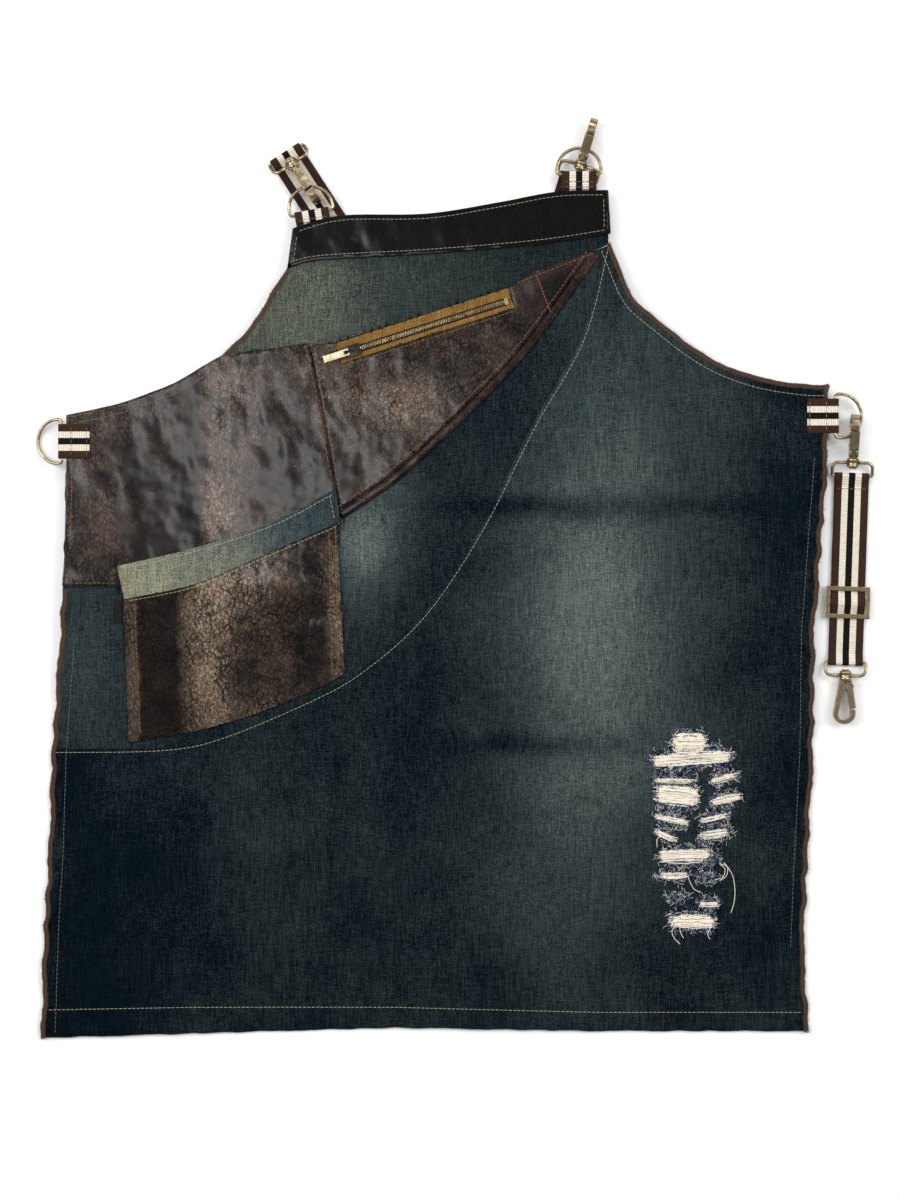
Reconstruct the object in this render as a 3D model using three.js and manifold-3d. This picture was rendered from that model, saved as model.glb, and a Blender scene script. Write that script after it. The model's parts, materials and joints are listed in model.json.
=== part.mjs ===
// A work apron lying flat, face up: a denim body with leather patches, a zipped pocket, an open
// patch pocket, four D-rings on webbing tabs, and two webbing straps with swivel snap hooks.
// Millimetres. +X is the wearer's left, +Y runs from hem to bib, +Z out of the front face.
import * as THREE from 'three';
import * as BufferGeometryUtils from 'three/addons/utils/BufferGeometryUtils.js';
import Module from 'manifold-3d';

const wasm = await Module();
wasm.setup();

// ---- Driving dimensions -------------------------------------------------------------------

const BODY_WIDTH = 684;        // widest, from the hem's left corner to the right side corner
const BODY_HEIGHT = 736;       // hem to the top of the bib
const DENIM = 1.2;             // thickness of a denim panel with its seam allowances
const LEATHER = 1.4;
const GAP = 0.3;               // clearance between pieces that touch
const LIFT = 9.0;              // how high the neck strap and its hardware hold the bib
const LIFT_FROM = 32;          // the body starts to rise here, in percent of its height
const LIFT_TO = 52;            // and is fully up here

const WEB_WIDTH = 30;          // webbing of both straps and the four tabs
const WEB = 1.3;               // webbing thickness
const WIRE = 2.9;              // wire of the D-rings and the hooks' oval rings
const D_RING_INSIDE = 35.2;    // clear length along the straight bar
const D_RING_STRAIGHT = 4;     // straight run of each arm before the round end
const D_RING_CORNER = 3;

const OVAL_INSIDE = 32;        // clear width of a hook's oval ring
const OVAL_DEPTH = 12;         // between the centrelines of its two bars
const OVAL_ROUND = 5;          // corner radius on the hub side
const OVAL_SQUARE = 2.4;       // corner radius on the webbing side
const HUB_RADIUS = 5.2;
const HUB_LENGTH = 8;
const SHANK_RADIUS = 2.3;
const RIVET_RADIUS = 3.4;
const RIVET_LENGTH = 1.2;
const HOOK_LENGTH = 42;        // from the hub's middle to the tip of the bow
const HOOK_RADIUS = 9.75;      // outside radius of the bow
const HOOK_EYE_RADIUS = 5.2;
const HOOK_EYE_NECK = 2;       // radius of the eye's narrow end
const HOOK_EYE_START = 12.1;   // from the hub's middle to the eye
const HOOK_THICKNESS = 7;
const HOOK_HEAD = 5.5;         // half width of the head at the hub
const GATE_THICKNESS = 8;
const GATE_END = 29.2;         // where gate and nose meet
const GATE_SLANT = 1.1;        // the gate's end falls away outward, so it clears the nose as it opens
const GATE_PIN = 1.1;          // pin radius
const GATE_LOBE = 4;
const TONGUE = 3.4;            // head thickness between the gate's two ears

const ADJUSTER_WIDTH = 38.7;
const ADJUSTER_HEIGHT = 27.8;
const ADJUSTER_WALL = 3.9;
const ADJUSTER_THICKNESS = 2;

const WAIST_STRAP = 185;       // between the middles of its two hubs
const WAIST_ADJUSTER = 121.5;  // from the upper hub to the middle of the adjuster
const NECK_ADJUSTER = 120;     // from the left hub to the middle of the adjuster
const SEWN_END = 15;           // webbing turned back and sewn past a ring

const POCKET_DEPTH = 6;        // how far the patch pocket stands open
const POCKET_WALL = 2;
const PIPING = 8;
const TAB_OVERLAP = 12;        // length of tab sewn to the panel
const ZIP_TEETH = 4.8;
const ZIP_TAPE_UPPER = 10.5;
const ZIP_TAPE_LOWER = 7.5;
const ZIP_LEAD = 21;           // tape ahead of the closed end of the teeth
const ZIP_TAIL = 7;
const SLIDER_LENGTH = 16;
const SLIDER_WIDTH = 10;
const PULL_LENGTH = 23;
const PULL_WIDTH = 6;

// ---- Heights of the layers over the body's underside ---------------------------------------

const ON_DENIM = DENIM + GAP;
const TAPE = 0.8;
const ON_TAPE = ON_DENIM + TAPE + GAP;
const TEETH_HEIGHT = 1.8;
const ON_LEATHER = ON_DENIM + LEATHER + GAP;
const POCKET_FRONT = ON_LEATHER + POCKET_DEPTH;
const ON_POCKET = POCKET_FRONT + LEATHER + GAP;

// ---- Materials ----------------------------------------------------------------------------

const material = (color, roughness, metalness = 0) =>
  new THREE.MeshStandardMaterial({ color, roughness, metalness });
const denim = material(0x24323c, 0.9);
const leather = material(0x2e1c19, 0.45);
const webbing = material(0x4a3830, 0.85);
const tan = material(0x7a5330, 0.9);
const metal = material(0x6d6248, 0.35, 1);
const blank = material(0x15130f, 0.8);

// ---- Solids -------------------------------------------------------------------------------

const apron = new THREE.Group();

const solid = (geometry) => {
  const bare = geometry.clone();
  bare.deleteAttribute('normal');
  bare.deleteAttribute('uv');
  const merged = BufferGeometryUtils.mergeVertices(bare, 1e-4);
  return new wasm.Manifold(new wasm.Mesh({
    numProp: 3,
    vertProperties: merged.attributes.position.array,
    triVerts: new Uint32Array(merged.index.array),
  }));
};

const geometryOf = (manifold) => {
  const mesh = manifold.getMesh();
  const geometry = new THREE.BufferGeometry();
  geometry.setAttribute('position', new THREE.BufferAttribute(mesh.vertProperties, 3));
  geometry.setIndex(new THREE.BufferAttribute(mesh.triVerts, 1));
  geometry.computeVertexNormals();
  return geometry;
};

const add = (name, shape, finish, parent = apron) => {
  const geometry = shape.isBufferGeometry ? shape : geometryOf(shape);
  const mesh = new THREE.Mesh(geometry, finish);
  mesh.name = name;
  parent.add(mesh);
  return mesh;
};

const prism = (points, low, high) => {
  const geometry = new THREE.ExtrudeGeometry(new THREE.Shape(points),
    { depth: high - low, bevelEnabled: false });
  return solid(geometry.translate(0, 0, low));
};

// A profile drawn in (y, z) and extruded along x, centred on x = 0.
const crosswise = (points, width) => {
  const geometry = new THREE.ExtrudeGeometry(new THREE.Shape(points),
    { depth: width, bevelEnabled: false });
  const axes = new THREE.Matrix4().makeBasis(
    new THREE.Vector3(0, 1, 0), new THREE.Vector3(0, 0, 1), new THREE.Vector3(1, 0, 0));
  return solid(geometry.applyMatrix4(axes).translate(-width / 2, 0, 0));
};

const box = (width, length, height, x, y, z) =>
  solid(new THREE.BoxGeometry(width, length, height).translate(x, y, z));

const circle = (radius, sides, x = 0, y = 0) =>
  new THREE.EllipseCurve(x, y, radius, radius, 0, 2 * Math.PI).getPoints(sides).slice(0, -1);

const arc = (x, y, radius, from, to, steps) =>
  new THREE.EllipseCurve(x, y, radius, radius, from, to, to < from).getPoints(steps);

const tube = (points, radius, steps) => new THREE.ExtrudeGeometry(
  new THREE.Shape(circle(radius, 8)),
  { steps, bevelEnabled: false, extrudePath: new THREE.CatmullRomCurve3(points, false, 'centripetal') });

const offset = (points, distance) => points.map((point, i) => {
  const before = points[Math.max(i - 1, 0)];
  const after = points[Math.min(i + 1, points.length - 1)];
  const along = after.clone().sub(before).normalize();
  return new THREE.Vector2(point.x - along.y * distance, point.y + along.x * distance);
});

const ribbon = (points, thickness) =>
  [...offset(points, thickness / 2), ...offset(points, -thickness / 2).reverse()];

// ---- The flat pattern, in percent of the body's width (from its middle) and height ----------

const at = (x, y) => new THREE.Vector2((x / 100) * BODY_WIDTH, (y / 100) * BODY_HEIGHT);
const path = (...pairs) => pairs.map(([x, y]) => at(x, y));
const smooth = (points, steps) => new THREE.SplineCurve(points).getPoints(steps);
const shifted = (points, x, y) => points.map((point) => new THREE.Vector2(point.x + x, point.y + y));

const hem = path([-49.9, 0], [-31.6, 0.5], [-4.8, 1.2], [20.6, 0.8], [47.6, 0.8]);
const rightSide = path([46.9, 9.9], [47.3, 19.4], [48.1, 33.6], [48.2, 47.8], [49.1, 59.6], [49.9, 69]);
const rightArmhole = smooth(path([50, 77], [46.6, 77.1], [40.5, 78.1], [34.4, 80.5], [28.2, 84.8],
  [25.2, 87.4], [23.3, 91.3], [22.3, 93.7]), 14);
const bandTop = path([22.1, 100], [15.5, 99.8], [7.9, 98.5], [-1, 97.2], [-11.8, 97], [-17.9, 95.5]);
const bibLeft = smooth(path([-18.6, 90.7], [-20.7, 87.7], [-22, 85.6], [-23.9, 83], [-25.2, 82],
  [-26.7, 80.6]), 8);
const leftArmhole = path([-29, 79.4], [-32.8, 77.3], [-36.6, 75.9], [-40.5, 74.7], [-46.6, 73.5]);
const leftSide = path([-46.6, 66.7], [-46.8, 57.2], [-47.3, 47.8], [-48.5, 33.6], [-48.9, 21.7],
  [-49.5, 12.3]);
const bodyOutline = [...hem, ...rightSide, ...rightArmhole, ...bandTop, ...bibLeft,
  ...leftArmhole, ...leftSide];

const seam = smooth(path([22.6, 95], [22.1, 93.5], [19.1, 82.5], [12.8, 72], [6.2, 59.9], [-1, 49.9],
  [-8.7, 43.4], [-15.4, 39.8], [-27, 35.3], [-34.7, 33.9], [-48.5, 33.7], [-60, 33.7]), 30);
const upperLeft = [...seam, ...path([-60, 110], [22.6, 110])];
const aboveBibLine = path([-60, 80.4], [-26.7, 80.4], [-20.1, 81.4], [-12.3, 82.6], [9.5, 88.9],
  [13, 90.5], [22.1, 93.5], [30, 96], [30, 110], [-60, 110]);
const yokeSeam = path([-16, 82], [-14.8, 77.1], [-13.5, 70.7], [-11.8, 61.3]);
const yokeOutline = [...path([-60, 80.4], [-60, 53.3], [-39.8, 53.3], [-12.1, 56]),
  ...yokeSeam.slice().reverse(), ...path([-20.1, 81.4], [-26.7, 80.4])];
const bandOutline = path([-18.6, 90.7], [-14.4, 91.7], [-1, 92.4], [13, 93.5], [22.6, 94.8],
  [22.6, 102], [-20, 102], [-20, 90.7]);
const pocketFold = smooth(path([21.1, 92.4], [15.1, 84.6], [10.1, 78.8], [2.8, 72], [-3.8, 66.3],
  [-7.9, 63.5], [-11.8, 61.1]), 16);
const patchLeft = path([-39.4, 51.7], [-38.8, 34.9]);
const patchBottom = smooth(path([-38.8, 34.9], [-30.4, 36.2], [-22.9, 38.2], [-15.4, 41],
  [-11.3, 43.1]), 8);
const cuffTop = smooth(path([-40.1, 55.7], [-30.4, 57.8], [-20.4, 60.9], [-12.5, 64.8]), 6);
const cuffBottom = smooth(path([-11.8, 60.9], [-22.9, 56.4], [-30.4, 53.5], [-39.2, 51.8]), 6);

// The body's underside follows the ground up to LIFT_FROM, then climbs to LIFT.
const slab = (low, high) => {
  const from = (LIFT_FROM / 100) * BODY_HEIGHT;
  const to = (LIFT_TO / 100) * BODY_HEIGHT;
  const start = -BODY_HEIGHT;
  const end = 2 * BODY_HEIGHT;
  const side = (over) => [[start, over], [from, over], [to, LIFT + over], [end, LIFT + over]]
    .map(([y, z]) => new THREE.Vector2(y, z));
  return crosswise([...side(low), ...side(high).reverse()], 3 * BODY_WIDTH);
};

const TALL = LIFT + ON_POCKET + 20;
const column = (outline) => prism(outline, -1, TALL);
const sheet = (outline, low, high) => column(outline).intersect(slab(low, high));
const body = column(bodyOutline);

// ---- Denim body ---------------------------------------------------------------------------

const denimLayer = body.intersect(slab(0, DENIM));
const bibRegion = column(aboveBibLine);
const upperLeftRegion = column(upperLeft);
add('skirt_panel', denimLayer.subtract(column(shifted(upperLeft, GAP, -GAP))), denim);
add('crescent_panel', denimLayer.intersect(upperLeftRegion)
  .subtract(column(shifted(aboveBibLine, 0, -GAP))), denim);
add('bib_panel', denimLayer.intersect(upperLeftRegion).intersect(bibRegion), denim);

// ---- Leather ------------------------------------------------------------------------------

const leatherLayer = slab(ON_DENIM, ON_DENIM + LEATHER);
add('leather_yoke', body.intersect(column(yokeOutline)).intersect(leatherLayer), leather);
add('bib_band', body.intersect(column(bandOutline)).intersect(leatherLayer), leather);

const zipStart = at(-9.2, 81.4);
const zipEnd = at(8.9, 86.8);
const zipLength = zipEnd.distanceTo(zipStart);
const zipAngle = Math.atan2(zipEnd.y - zipStart.y, zipEnd.x - zipStart.x);
const zip = new THREE.Group();
zip.position.set(zipStart.x, zipStart.y, LIFT);
zip.rotation.z = zipAngle;
apron.add(zip);
const inZip = (x, y) => new THREE.Vector2(x, y).rotateAround(new THREE.Vector2(), zipAngle).add(zipStart);
const zipOpening = column([inZip(-ZIP_LEAD - GAP, -ZIP_TAPE_LOWER - GAP),
  inZip(zipLength + ZIP_TAIL + GAP, -ZIP_TAPE_LOWER - GAP),
  inZip(zipLength + ZIP_TAIL + GAP, ZIP_TAPE_UPPER + GAP), inZip(-ZIP_LEAD - GAP, ZIP_TAPE_UPPER + GAP)]);
const pocketInner = offset(pocketFold, -PIPING - GAP);
const zipPocketOutline = [...pocketInner, ...path([-20, 62], [-20, 82], [-16, 82], [9.8, 89.2], [13, 90.3])];
const yokeSide = column(shifted([...path([-40, 82.1], [-40, 50], [-11.8, 50]), ...yokeSeam.slice().reverse(),
  ...path([-16, 82.1])], GAP, 0));
add('zip_pocket_leather', sheet(zipPocketOutline, ON_DENIM, ON_DENIM + LEATHER)
  .subtract(zipOpening).subtract(yokeSide), leather);
add('pocket_piping', sheet([...offset(pocketFold, -PIPING), ...pocketFold.slice().reverse()],
  ON_DENIM, ON_DENIM + LEATHER).subtract(yokeSide), leather);

// ---- Zip: tapes, teeth, stop, slider and pull -------------------------------------------------

const tape = (low, high) => box(zipLength + ZIP_LEAD + ZIP_TAIL, high - low, TAPE,
  (zipLength + ZIP_TAIL - ZIP_LEAD) / 2, (low + high) / 2, ON_DENIM + TAPE / 2);
add('zip_tape_upper', tape(GAP / 2, ZIP_TAPE_UPPER), tan, zip);
add('zip_tape_lower', tape(-ZIP_TAPE_LOWER, -GAP / 2), tan, zip);
add('zip_teeth', box(zipLength + SLIDER_LENGTH, ZIP_TEETH, TEETH_HEIGHT,
  (zipLength - SLIDER_LENGTH) / 2, 0, ON_TAPE + TEETH_HEIGHT / 2), metal, zip);
add('zip_end_stop', box(3, ZIP_TEETH + 1, TEETH_HEIGHT, zipLength + GAP + 1.5, 0,
  ON_TAPE + TEETH_HEIGHT / 2), metal, zip);

const slider = new THREE.Group();
slider.position.set(-SLIDER_LENGTH / 2 - 1, 0, ON_TAPE);
zip.add(slider);
const SLIDER_HEIGHT = TEETH_HEIGHT + GAP + 1;
const BAIL_LENGTH = 7;
const BAIL_WIDTH = 2;
const BAIL_HEIGHT = 3;
const BAIL_WALL = 1.1;
const BAIL_AT = -2;
const bailRoom = BAIL_HEIGHT - BAIL_WALL;
const bail = box(BAIL_LENGTH, BAIL_WIDTH, BAIL_HEIGHT + 1, BAIL_AT, 0, SLIDER_HEIGHT + (BAIL_HEIGHT - 1) / 2)
  .subtract(box(BAIL_LENGTH - 2 * BAIL_WALL, BAIL_WIDTH + 1, bailRoom, BAIL_AT, 0, SLIDER_HEIGHT + bailRoom / 2));
add('zip_slider', box(SLIDER_LENGTH, SLIDER_WIDTH, SLIDER_HEIGHT, 0, 0, SLIDER_HEIGHT / 2)
  .subtract(box(SLIDER_LENGTH + 2, ZIP_TEETH + 2 * GAP, 2 * (TEETH_HEIGHT + GAP), 0, 0, 0))
  .add(bail), metal, slider);
// The pull turns on its cross bar, which sits under the bail; its hole clears the bail's leg.
const PULL_PLATE = 0.9;
const PULL_BAR = 1.2;
const PULL_DROOP = 3.4;         // degrees; the pull clears the teeth that it trails over
const pullHole = BAIL_WIDTH + 4 * GAP;
const pull = new THREE.Group();
pull.position.set(BAIL_AT - BAIL_LENGTH / 2 + BAIL_WALL + GAP + PULL_BAR, 0, SLIDER_HEIGHT + bailRoom / 2);
pull.rotation.y = -THREE.MathUtils.degToRad(PULL_DROOP);
slider.add(pull);
add('zip_pull', box(PULL_LENGTH, PULL_WIDTH, PULL_PLATE, (PULL_BAR - PULL_LENGTH) / 2, 0, 0)
  .subtract(box(pullHole, pullHole, 3, -(PULL_BAR + pullHole) / 2, 0, 0)), metal, pull);

// ---- Patch pocket, its denim cuff and the blank label ------------------------------------------

const patchOutline = [...patchLeft, ...patchBottom.slice(1), ...cuffTop.slice().reverse()];
const inset = (points, distance) => offset(points, distance);
const hollowLeft = shifted(patchLeft, POCKET_WALL, POCKET_WALL);
const hollowBottom = inset(patchBottom, POCKET_WALL);
const hollowRight = hollowBottom[hollowBottom.length - 1];
hollowRight.x -= POCKET_WALL;
const hollowOutline = [...hollowLeft, ...hollowBottom.slice(1),
  new THREE.Vector2(cuffTop[cuffTop.length - 1].x - POCKET_WALL, at(0, 72).y),
  new THREE.Vector2(cuffTop[0].x + POCKET_WALL, at(0, 72).y)];
add('patch_pocket', sheet(patchOutline, ON_LEATHER, POCKET_FRONT + LEATHER)
  .subtract(sheet(hollowOutline, ON_LEATHER - 1, POCKET_FRONT)), leather);
add('pocket_cuff', sheet([...cuffTop, ...cuffBottom].reverse(), ON_POCKET, ON_POCKET + DENIM), denim);
const label = at(-40, 50.3);
add('blank_label', box(7, 20, 0.6, label.x - 0.5, label.y, 0)
  .translate(0, 0, LIFT + ON_DENIM), blank);

// ---- D-rings on folded webbing tabs -----------------------------------------------------------

const armX = D_RING_INSIDE / 2 + WIRE / 2;
const dRingPath = (() => {
  const bend = (x, from) => arc(x, D_RING_CORNER, D_RING_CORNER, from, from + Math.PI / 2, 3);
  const points = [new THREE.Vector2(0.2, 0), new THREE.Vector2(armX / 2, 0),
    ...bend(armX - D_RING_CORNER, -Math.PI / 2),
    ...arc(0, D_RING_STRAIGHT, armX, 0, Math.PI, 12),
    ...bend(D_RING_CORNER - armX, Math.PI),
    new THREE.Vector2(-armX / 2, 0), new THREE.Vector2(-0.2, 0)];
  return points.map((point) => new THREE.Vector3(point.x, point.y, 0));
})();

const bendRadius = WIRE / 2 + GAP + WEB / 2;

// A tab folded round the bar at its origin. Its legs hold a panel of the given thickness; the upper
// leg is shorter where another piece covers the panel.
const tabProfile = (stack, upper, lower) => {
  const leg = stack / 2 + GAP + WEB / 2;
  const settle = -4;
  const points = [new THREE.Vector2(-lower, -leg), new THREE.Vector2(settle, -leg),
    ...arc(0, 0, bendRadius, -Math.PI / 2, Math.PI / 2, 8),
    new THREE.Vector2(settle, leg), new THREE.Vector2(-upper, leg)];
  return crosswise(ribbon(points, WEB), WEB_WIDTH);
};

const dRing = (side, place, heading, tilt, barHeight, tab) => {
  const mount = new THREE.Group();
  mount.position.set(place.x, place.y, barHeight);
  mount.rotation.z = THREE.MathUtils.degToRad(heading);
  add(`${side}_tab`, tab, webbing, mount);
  const ring = new THREE.Group();
  ring.rotation.x = THREE.MathUtils.degToRad(tilt);
  add(`${side}_d_ring`, tube(dRingPath, WIRE / 2, 44), metal, ring);
  mount.add(ring);
  apron.add(mount);
  mount.updateWorldMatrix(true, true);
  return ring;
};

const denimMiddle = LIFT + DENIM / 2;
const leatherStack = ON_DENIM + LEATHER;
const TAB_REACH = 4.5;         // from a side edge out to the D-ring's bar
const LEFT_REACH = 8.7;        // from the band's edge up to each shoulder's bar
const RIGHT_REACH = 14.5;
const EDGE_SLOPE = 1.8;        // the band's edge rises this much across a tab
const sideTab = (stack) => tabProfile(stack, TAB_REACH + 20, TAB_REACH + TAB_OVERLAP);
const shoulderTab = (reach) => tabProfile(DENIM, reach - EDGE_SLOPE, reach + TAB_OVERLAP);
const leftShoulder = at(-15.5, 97.3);
const rightShoulder = at(18.4, 101.85);
const leftHip = at(-47.2, 70.4);
const rightHip = at(50.9, 73.4);
dRing('left_hip', leftHip, 90, -22, LIFT + leatherStack / 2, sideTab(leatherStack));
const rightRing = dRing('right_hip', rightHip, -90, -7, denimMiddle, sideTab(DENIM));
const leftRing = dRing('left_shoulder', leftShoulder, 10, 4, denimMiddle, shoulderTab(LEFT_REACH));
const topRing = dRing('right_shoulder', rightShoulder, 0, -4, denimMiddle, shoulderTab(RIGHT_REACH));

// ---- Swivel snap hooks ---------------------------------------------------------------------------

// Each is drawn with the hub's middle at the origin and the tip towards +y.
const turnedRod = (radius, from, to) =>
  solid(new THREE.CylinderGeometry(radius, radius, to - from, 16).translate(0, (from + to) / 2, 0));

const ovalHalf = OVAL_INSIDE / 2 + WIRE / 2;
const ovalWire = (() => {
  const inHubWall = (SHANK_RADIUS + GAP + HUB_RADIUS) / 2;
  const points = [new THREE.Vector2(inHubWall, 0),
    ...arc(ovalHalf - OVAL_ROUND, -OVAL_ROUND, OVAL_ROUND, Math.PI / 2, 0, 4),
    ...arc(ovalHalf - OVAL_SQUARE, OVAL_SQUARE - OVAL_DEPTH, OVAL_SQUARE, 0, -Math.PI / 2, 3),
    new THREE.Vector2(0, -OVAL_DEPTH)];
  const mirrored = points.slice(0, -1).reverse().map((point) => new THREE.Vector2(-point.x, point.y));
  return solid(tube([...points, ...mirrored].map((point) => new THREE.Vector3(point.x, point.y, 0)),
    WIRE / 2, 44));
})();
const hubBore = turnedRod(SHANK_RADIUS + GAP, -HUB_LENGTH, HUB_LENGTH);

const bowCentre = HOOK_LENGTH - HOOK_RADIUS;
const hookOutline = [new THREE.Vector2(-HOOK_HEAD, HUB_LENGTH / 2 + GAP),
  new THREE.Vector2(HOOK_HEAD, HUB_LENGTH / 2 + GAP), new THREE.Vector2(HOOK_HEAD + 0.7, 11),
  ...arc(0, bowCentre, HOOK_RADIUS, -0.15, Math.PI + 0.15, 14), new THREE.Vector2(-HOOK_HEAD - 0.7, 11)];
const eyeNear = HOOK_EYE_START + HOOK_EYE_NECK;
const eyeFar = HOOK_LENGTH - 3.4 - HOOK_EYE_RADIUS;
const hookEye = prism([...arc(0, eyeFar, HOOK_EYE_RADIUS, -0.15, Math.PI + 0.15, 12),
  ...arc(0, eyeNear, HOOK_EYE_NECK, Math.PI + 0.15, 2 * Math.PI - 0.15, 6)], -20, 20);
const gatePivot = new THREE.Vector2(-3.2, 9.3);
const lobe = (radius, half) => prism(circle(radius, 20, gatePivot.x, gatePivot.y), -half, half);
const gateSlotStart = gatePivot.y + 3;
const gateSlot = prism([[-20, gateSlotStart], [-1.2, gateSlotStart], [-2, eyeNear], [0, eyeFar - 4],
  [-1, GATE_END], [-20, GATE_END]].map(([x, y]) => new THREE.Vector2(x, y)), -20, 20);
const hookFlat = prism(hookOutline, -HOOK_THICKNESS / 2, HOOK_THICKNESS / 2);
const earRoom = lobe(GATE_LOBE + 2 * GAP, 20).subtract(lobe(GATE_LOBE + 3 * GAP, TONGUE / 2));
const hookSolid = hookFlat.subtract(hookEye).subtract(gateSlot).subtract(earRoom)
  .subtract(lobe(GATE_PIN + GAP, 20))
  .add(turnedRod(SHANK_RADIUS, -HUB_LENGTH / 2 - GAP - RIVET_LENGTH / 2, HUB_LENGTH / 2 + 2 * GAP))
  .add(turnedRod(RIVET_RADIUS, -HUB_LENGTH / 2 - GAP - RIVET_LENGTH, -HUB_LENGTH / 2 - GAP));
const gateLever = prism([[-6.6, 9.3], [-9.9, GATE_END - GAP - GATE_SLANT], [-5, GATE_END - GAP],
  [-2.4, eyeNear], [-1.8, gatePivot.y + 3.2], [-4, 9.3]].map(([x, y]) => new THREE.Vector2(x, y)),
-GATE_THICKNESS / 2, GATE_THICKNESS / 2);
const gateSolid = gateLever.add(lobe(GATE_LOBE, GATE_THICKNESS / 2))
  .subtract(lobe(GATE_LOBE + 3 * GAP, TONGUE / 2 + GAP)).subtract(lobe(GATE_PIN + GAP, 20));
const pinSolid = lobe(GATE_PIN, GATE_THICKNESS / 2 + GAP);

// hub: where the hub's middle is; heading, pitch and roll in degrees; drop: how far the webbing
// side of the oval ring lies below the hub.
const snapHook = (name, hub, heading, pitch, roll, drop, parent = apron) => {
  const hook = new THREE.Group();
  hook.position.copy(hub);
  hook.rotation.set(THREE.MathUtils.degToRad(pitch), 0, THREE.MathUtils.degToRad(heading), 'ZYX');
  const tilt = Math.asin(drop / OVAL_DEPTH) - THREE.MathUtils.degToRad(pitch);
  const wire = ovalWire.rotate([THREE.MathUtils.radToDeg(tilt), 0, 0]);
  add(`${name}_oval_ring`, turnedRod(HUB_RADIUS, -HUB_LENGTH / 2, HUB_LENGTH / 2).add(wire)
    .subtract(hubBore), metal, hook);
  const turned = new THREE.Group();
  turned.rotation.y = THREE.MathUtils.degToRad(roll);
  add(`${name}_body`, hookSolid, metal, turned);
  add(`${name}_gate`, gateSolid, metal, turned);
  add(`${name}_gate_pin`, pinSolid, metal, turned);
  hook.add(turned);
  parent.add(hook);
  return hook;
};

// The hub that puts a hook's eye on a D-ring: round is the place on the ring's round end, counted
// from +x, and reach is how far along the hook the wire passes.
const hubOnRing = (ring, round, reach, heading, height) => {
  const angle = THREE.MathUtils.degToRad(round);
  const crossing = ring.localToWorld(new THREE.Vector3(
    armX * Math.cos(angle), D_RING_STRAIGHT + armX * Math.sin(angle), 0));
  const turn = THREE.MathUtils.degToRad(heading);
  return new THREE.Vector3(crossing.x + reach * Math.sin(turn), crossing.y - reach * Math.cos(turn), height);
};

const loopMiddle = bendRadius + WEB / 2;   // height of a bar whose webbing lies on the ground
const HUB_ON_GROUND = 5.9;
const plan = (drop) => Math.sqrt(OVAL_DEPTH ** 2 - drop ** 2);
const lowDrop = HUB_ON_GROUND - loopMiddle;
const layer = (n) => WEB / 2 + n * (WEB + GAP);

const WAIST_HEADING = -2;
const waistHub = hubOnRing(rightRing, 41, 26, WAIST_HEADING, HUB_ON_GROUND);
const waist = new THREE.Group();
waist.position.set(waistHub.x, waistHub.y, 0);
waist.rotation.z = THREE.MathUtils.degToRad(WAIST_HEADING);
apron.add(waist);
snapHook('waist_top', new THREE.Vector3(0, 0, HUB_ON_GROUND), 0, 8, 90, lowDrop, waist);
snapHook('waist_end', new THREE.Vector3(0, -WAIST_STRAP, HUB_ON_GROUND), 180, 0, 0, lowDrop, waist);

const NECK_LEFT_HEADING = -147;
const NECK_LEFT_HEIGHT = 9.2;
const neckLeftHub = hubOnRing(leftRing, 90, 24, NECK_LEFT_HEADING, NECK_LEFT_HEIGHT);
snapHook('neck_left', neckLeftHub, NECK_LEFT_HEADING, 8, 90, NECK_LEFT_HEIGHT - loopMiddle);
const NECK_RIGHT_HEADING = -17;
const neckRightHub = hubOnRing(topRing, 73, 14.2, NECK_RIGHT_HEADING, HUB_ON_GROUND);
snapHook('neck_right', neckRightHub, NECK_RIGHT_HEADING, 9.5, 90, lowDrop);

// ---- Straps and adjusters --------------------------------------------------------------------------

const flat = (y, height) => new THREE.Vector2(y, height);
const overBar = layer(1) + WEB + 2 * GAP + ADJUSTER_THICKNESS;
const ADJUSTER_LOW = layer(1) + WEB / 2 + GAP;
const frameGap = ADJUSTER_HEIGHT / 2 - ADJUSTER_WALL;

const adjuster = (name, y, parent) => {
  const middle = ADJUSTER_LOW + ADJUSTER_THICKNESS / 2;
  const frame = box(ADJUSTER_WIDTH, ADJUSTER_HEIGHT, ADJUSTER_THICKNESS, 0, y, middle)
    .subtract(box(ADJUSTER_WIDTH - 2 * ADJUSTER_WALL, ADJUSTER_HEIGHT - 2 * ADJUSTER_WALL, 9, 0, y, middle))
    .add(box(ADJUSTER_WIDTH - 2, ADJUSTER_WALL - 1, ADJUSTER_THICKNESS, 0, y, middle));
  add(name, frame, metal, parent);
};

// Webbing down through an adjuster at y, coming and going at the given layer's height.
const throughAdjuster = (y) => {
  const rise = frameGap - 0.6;
  const half = (ADJUSTER_WALL - 1) / 2 + 0.4;
  return [flat(y + rise, layer(1)), flat(y + half, overBar), flat(y - half, overBar), flat(y - rise, layer(1))];
};

const topBar = -plan(lowDrop);
const endBar = -WAIST_STRAP + plan(lowDrop);
const aroundTop = (y) => arc(y, loopMiddle, bendRadius, -Math.PI / 2, Math.PI / 2, 8);
const aroundEnd = (y) => arc(y, loopMiddle, bendRadius, Math.PI / 2, 3 * Math.PI / 2, 8);
const waistPath = [flat(topBar - SEWN_END, layer(0)), ...aroundTop(topBar),
  flat(topBar - 8, layer(1)), flat(topBar - SEWN_END - 3, layer(1)),
  ...throughAdjuster(-WAIST_ADJUSTER), flat(endBar + 8, layer(1)), ...aroundEnd(endBar),
  flat(-WAIST_ADJUSTER - 1, layer(0))];
add('waist_strap', crosswise(ribbon(waistPath, WEB), WEB_WIDTH), webbing, waist);
adjuster('waist_adjuster', -WAIST_ADJUSTER, waist);

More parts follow.
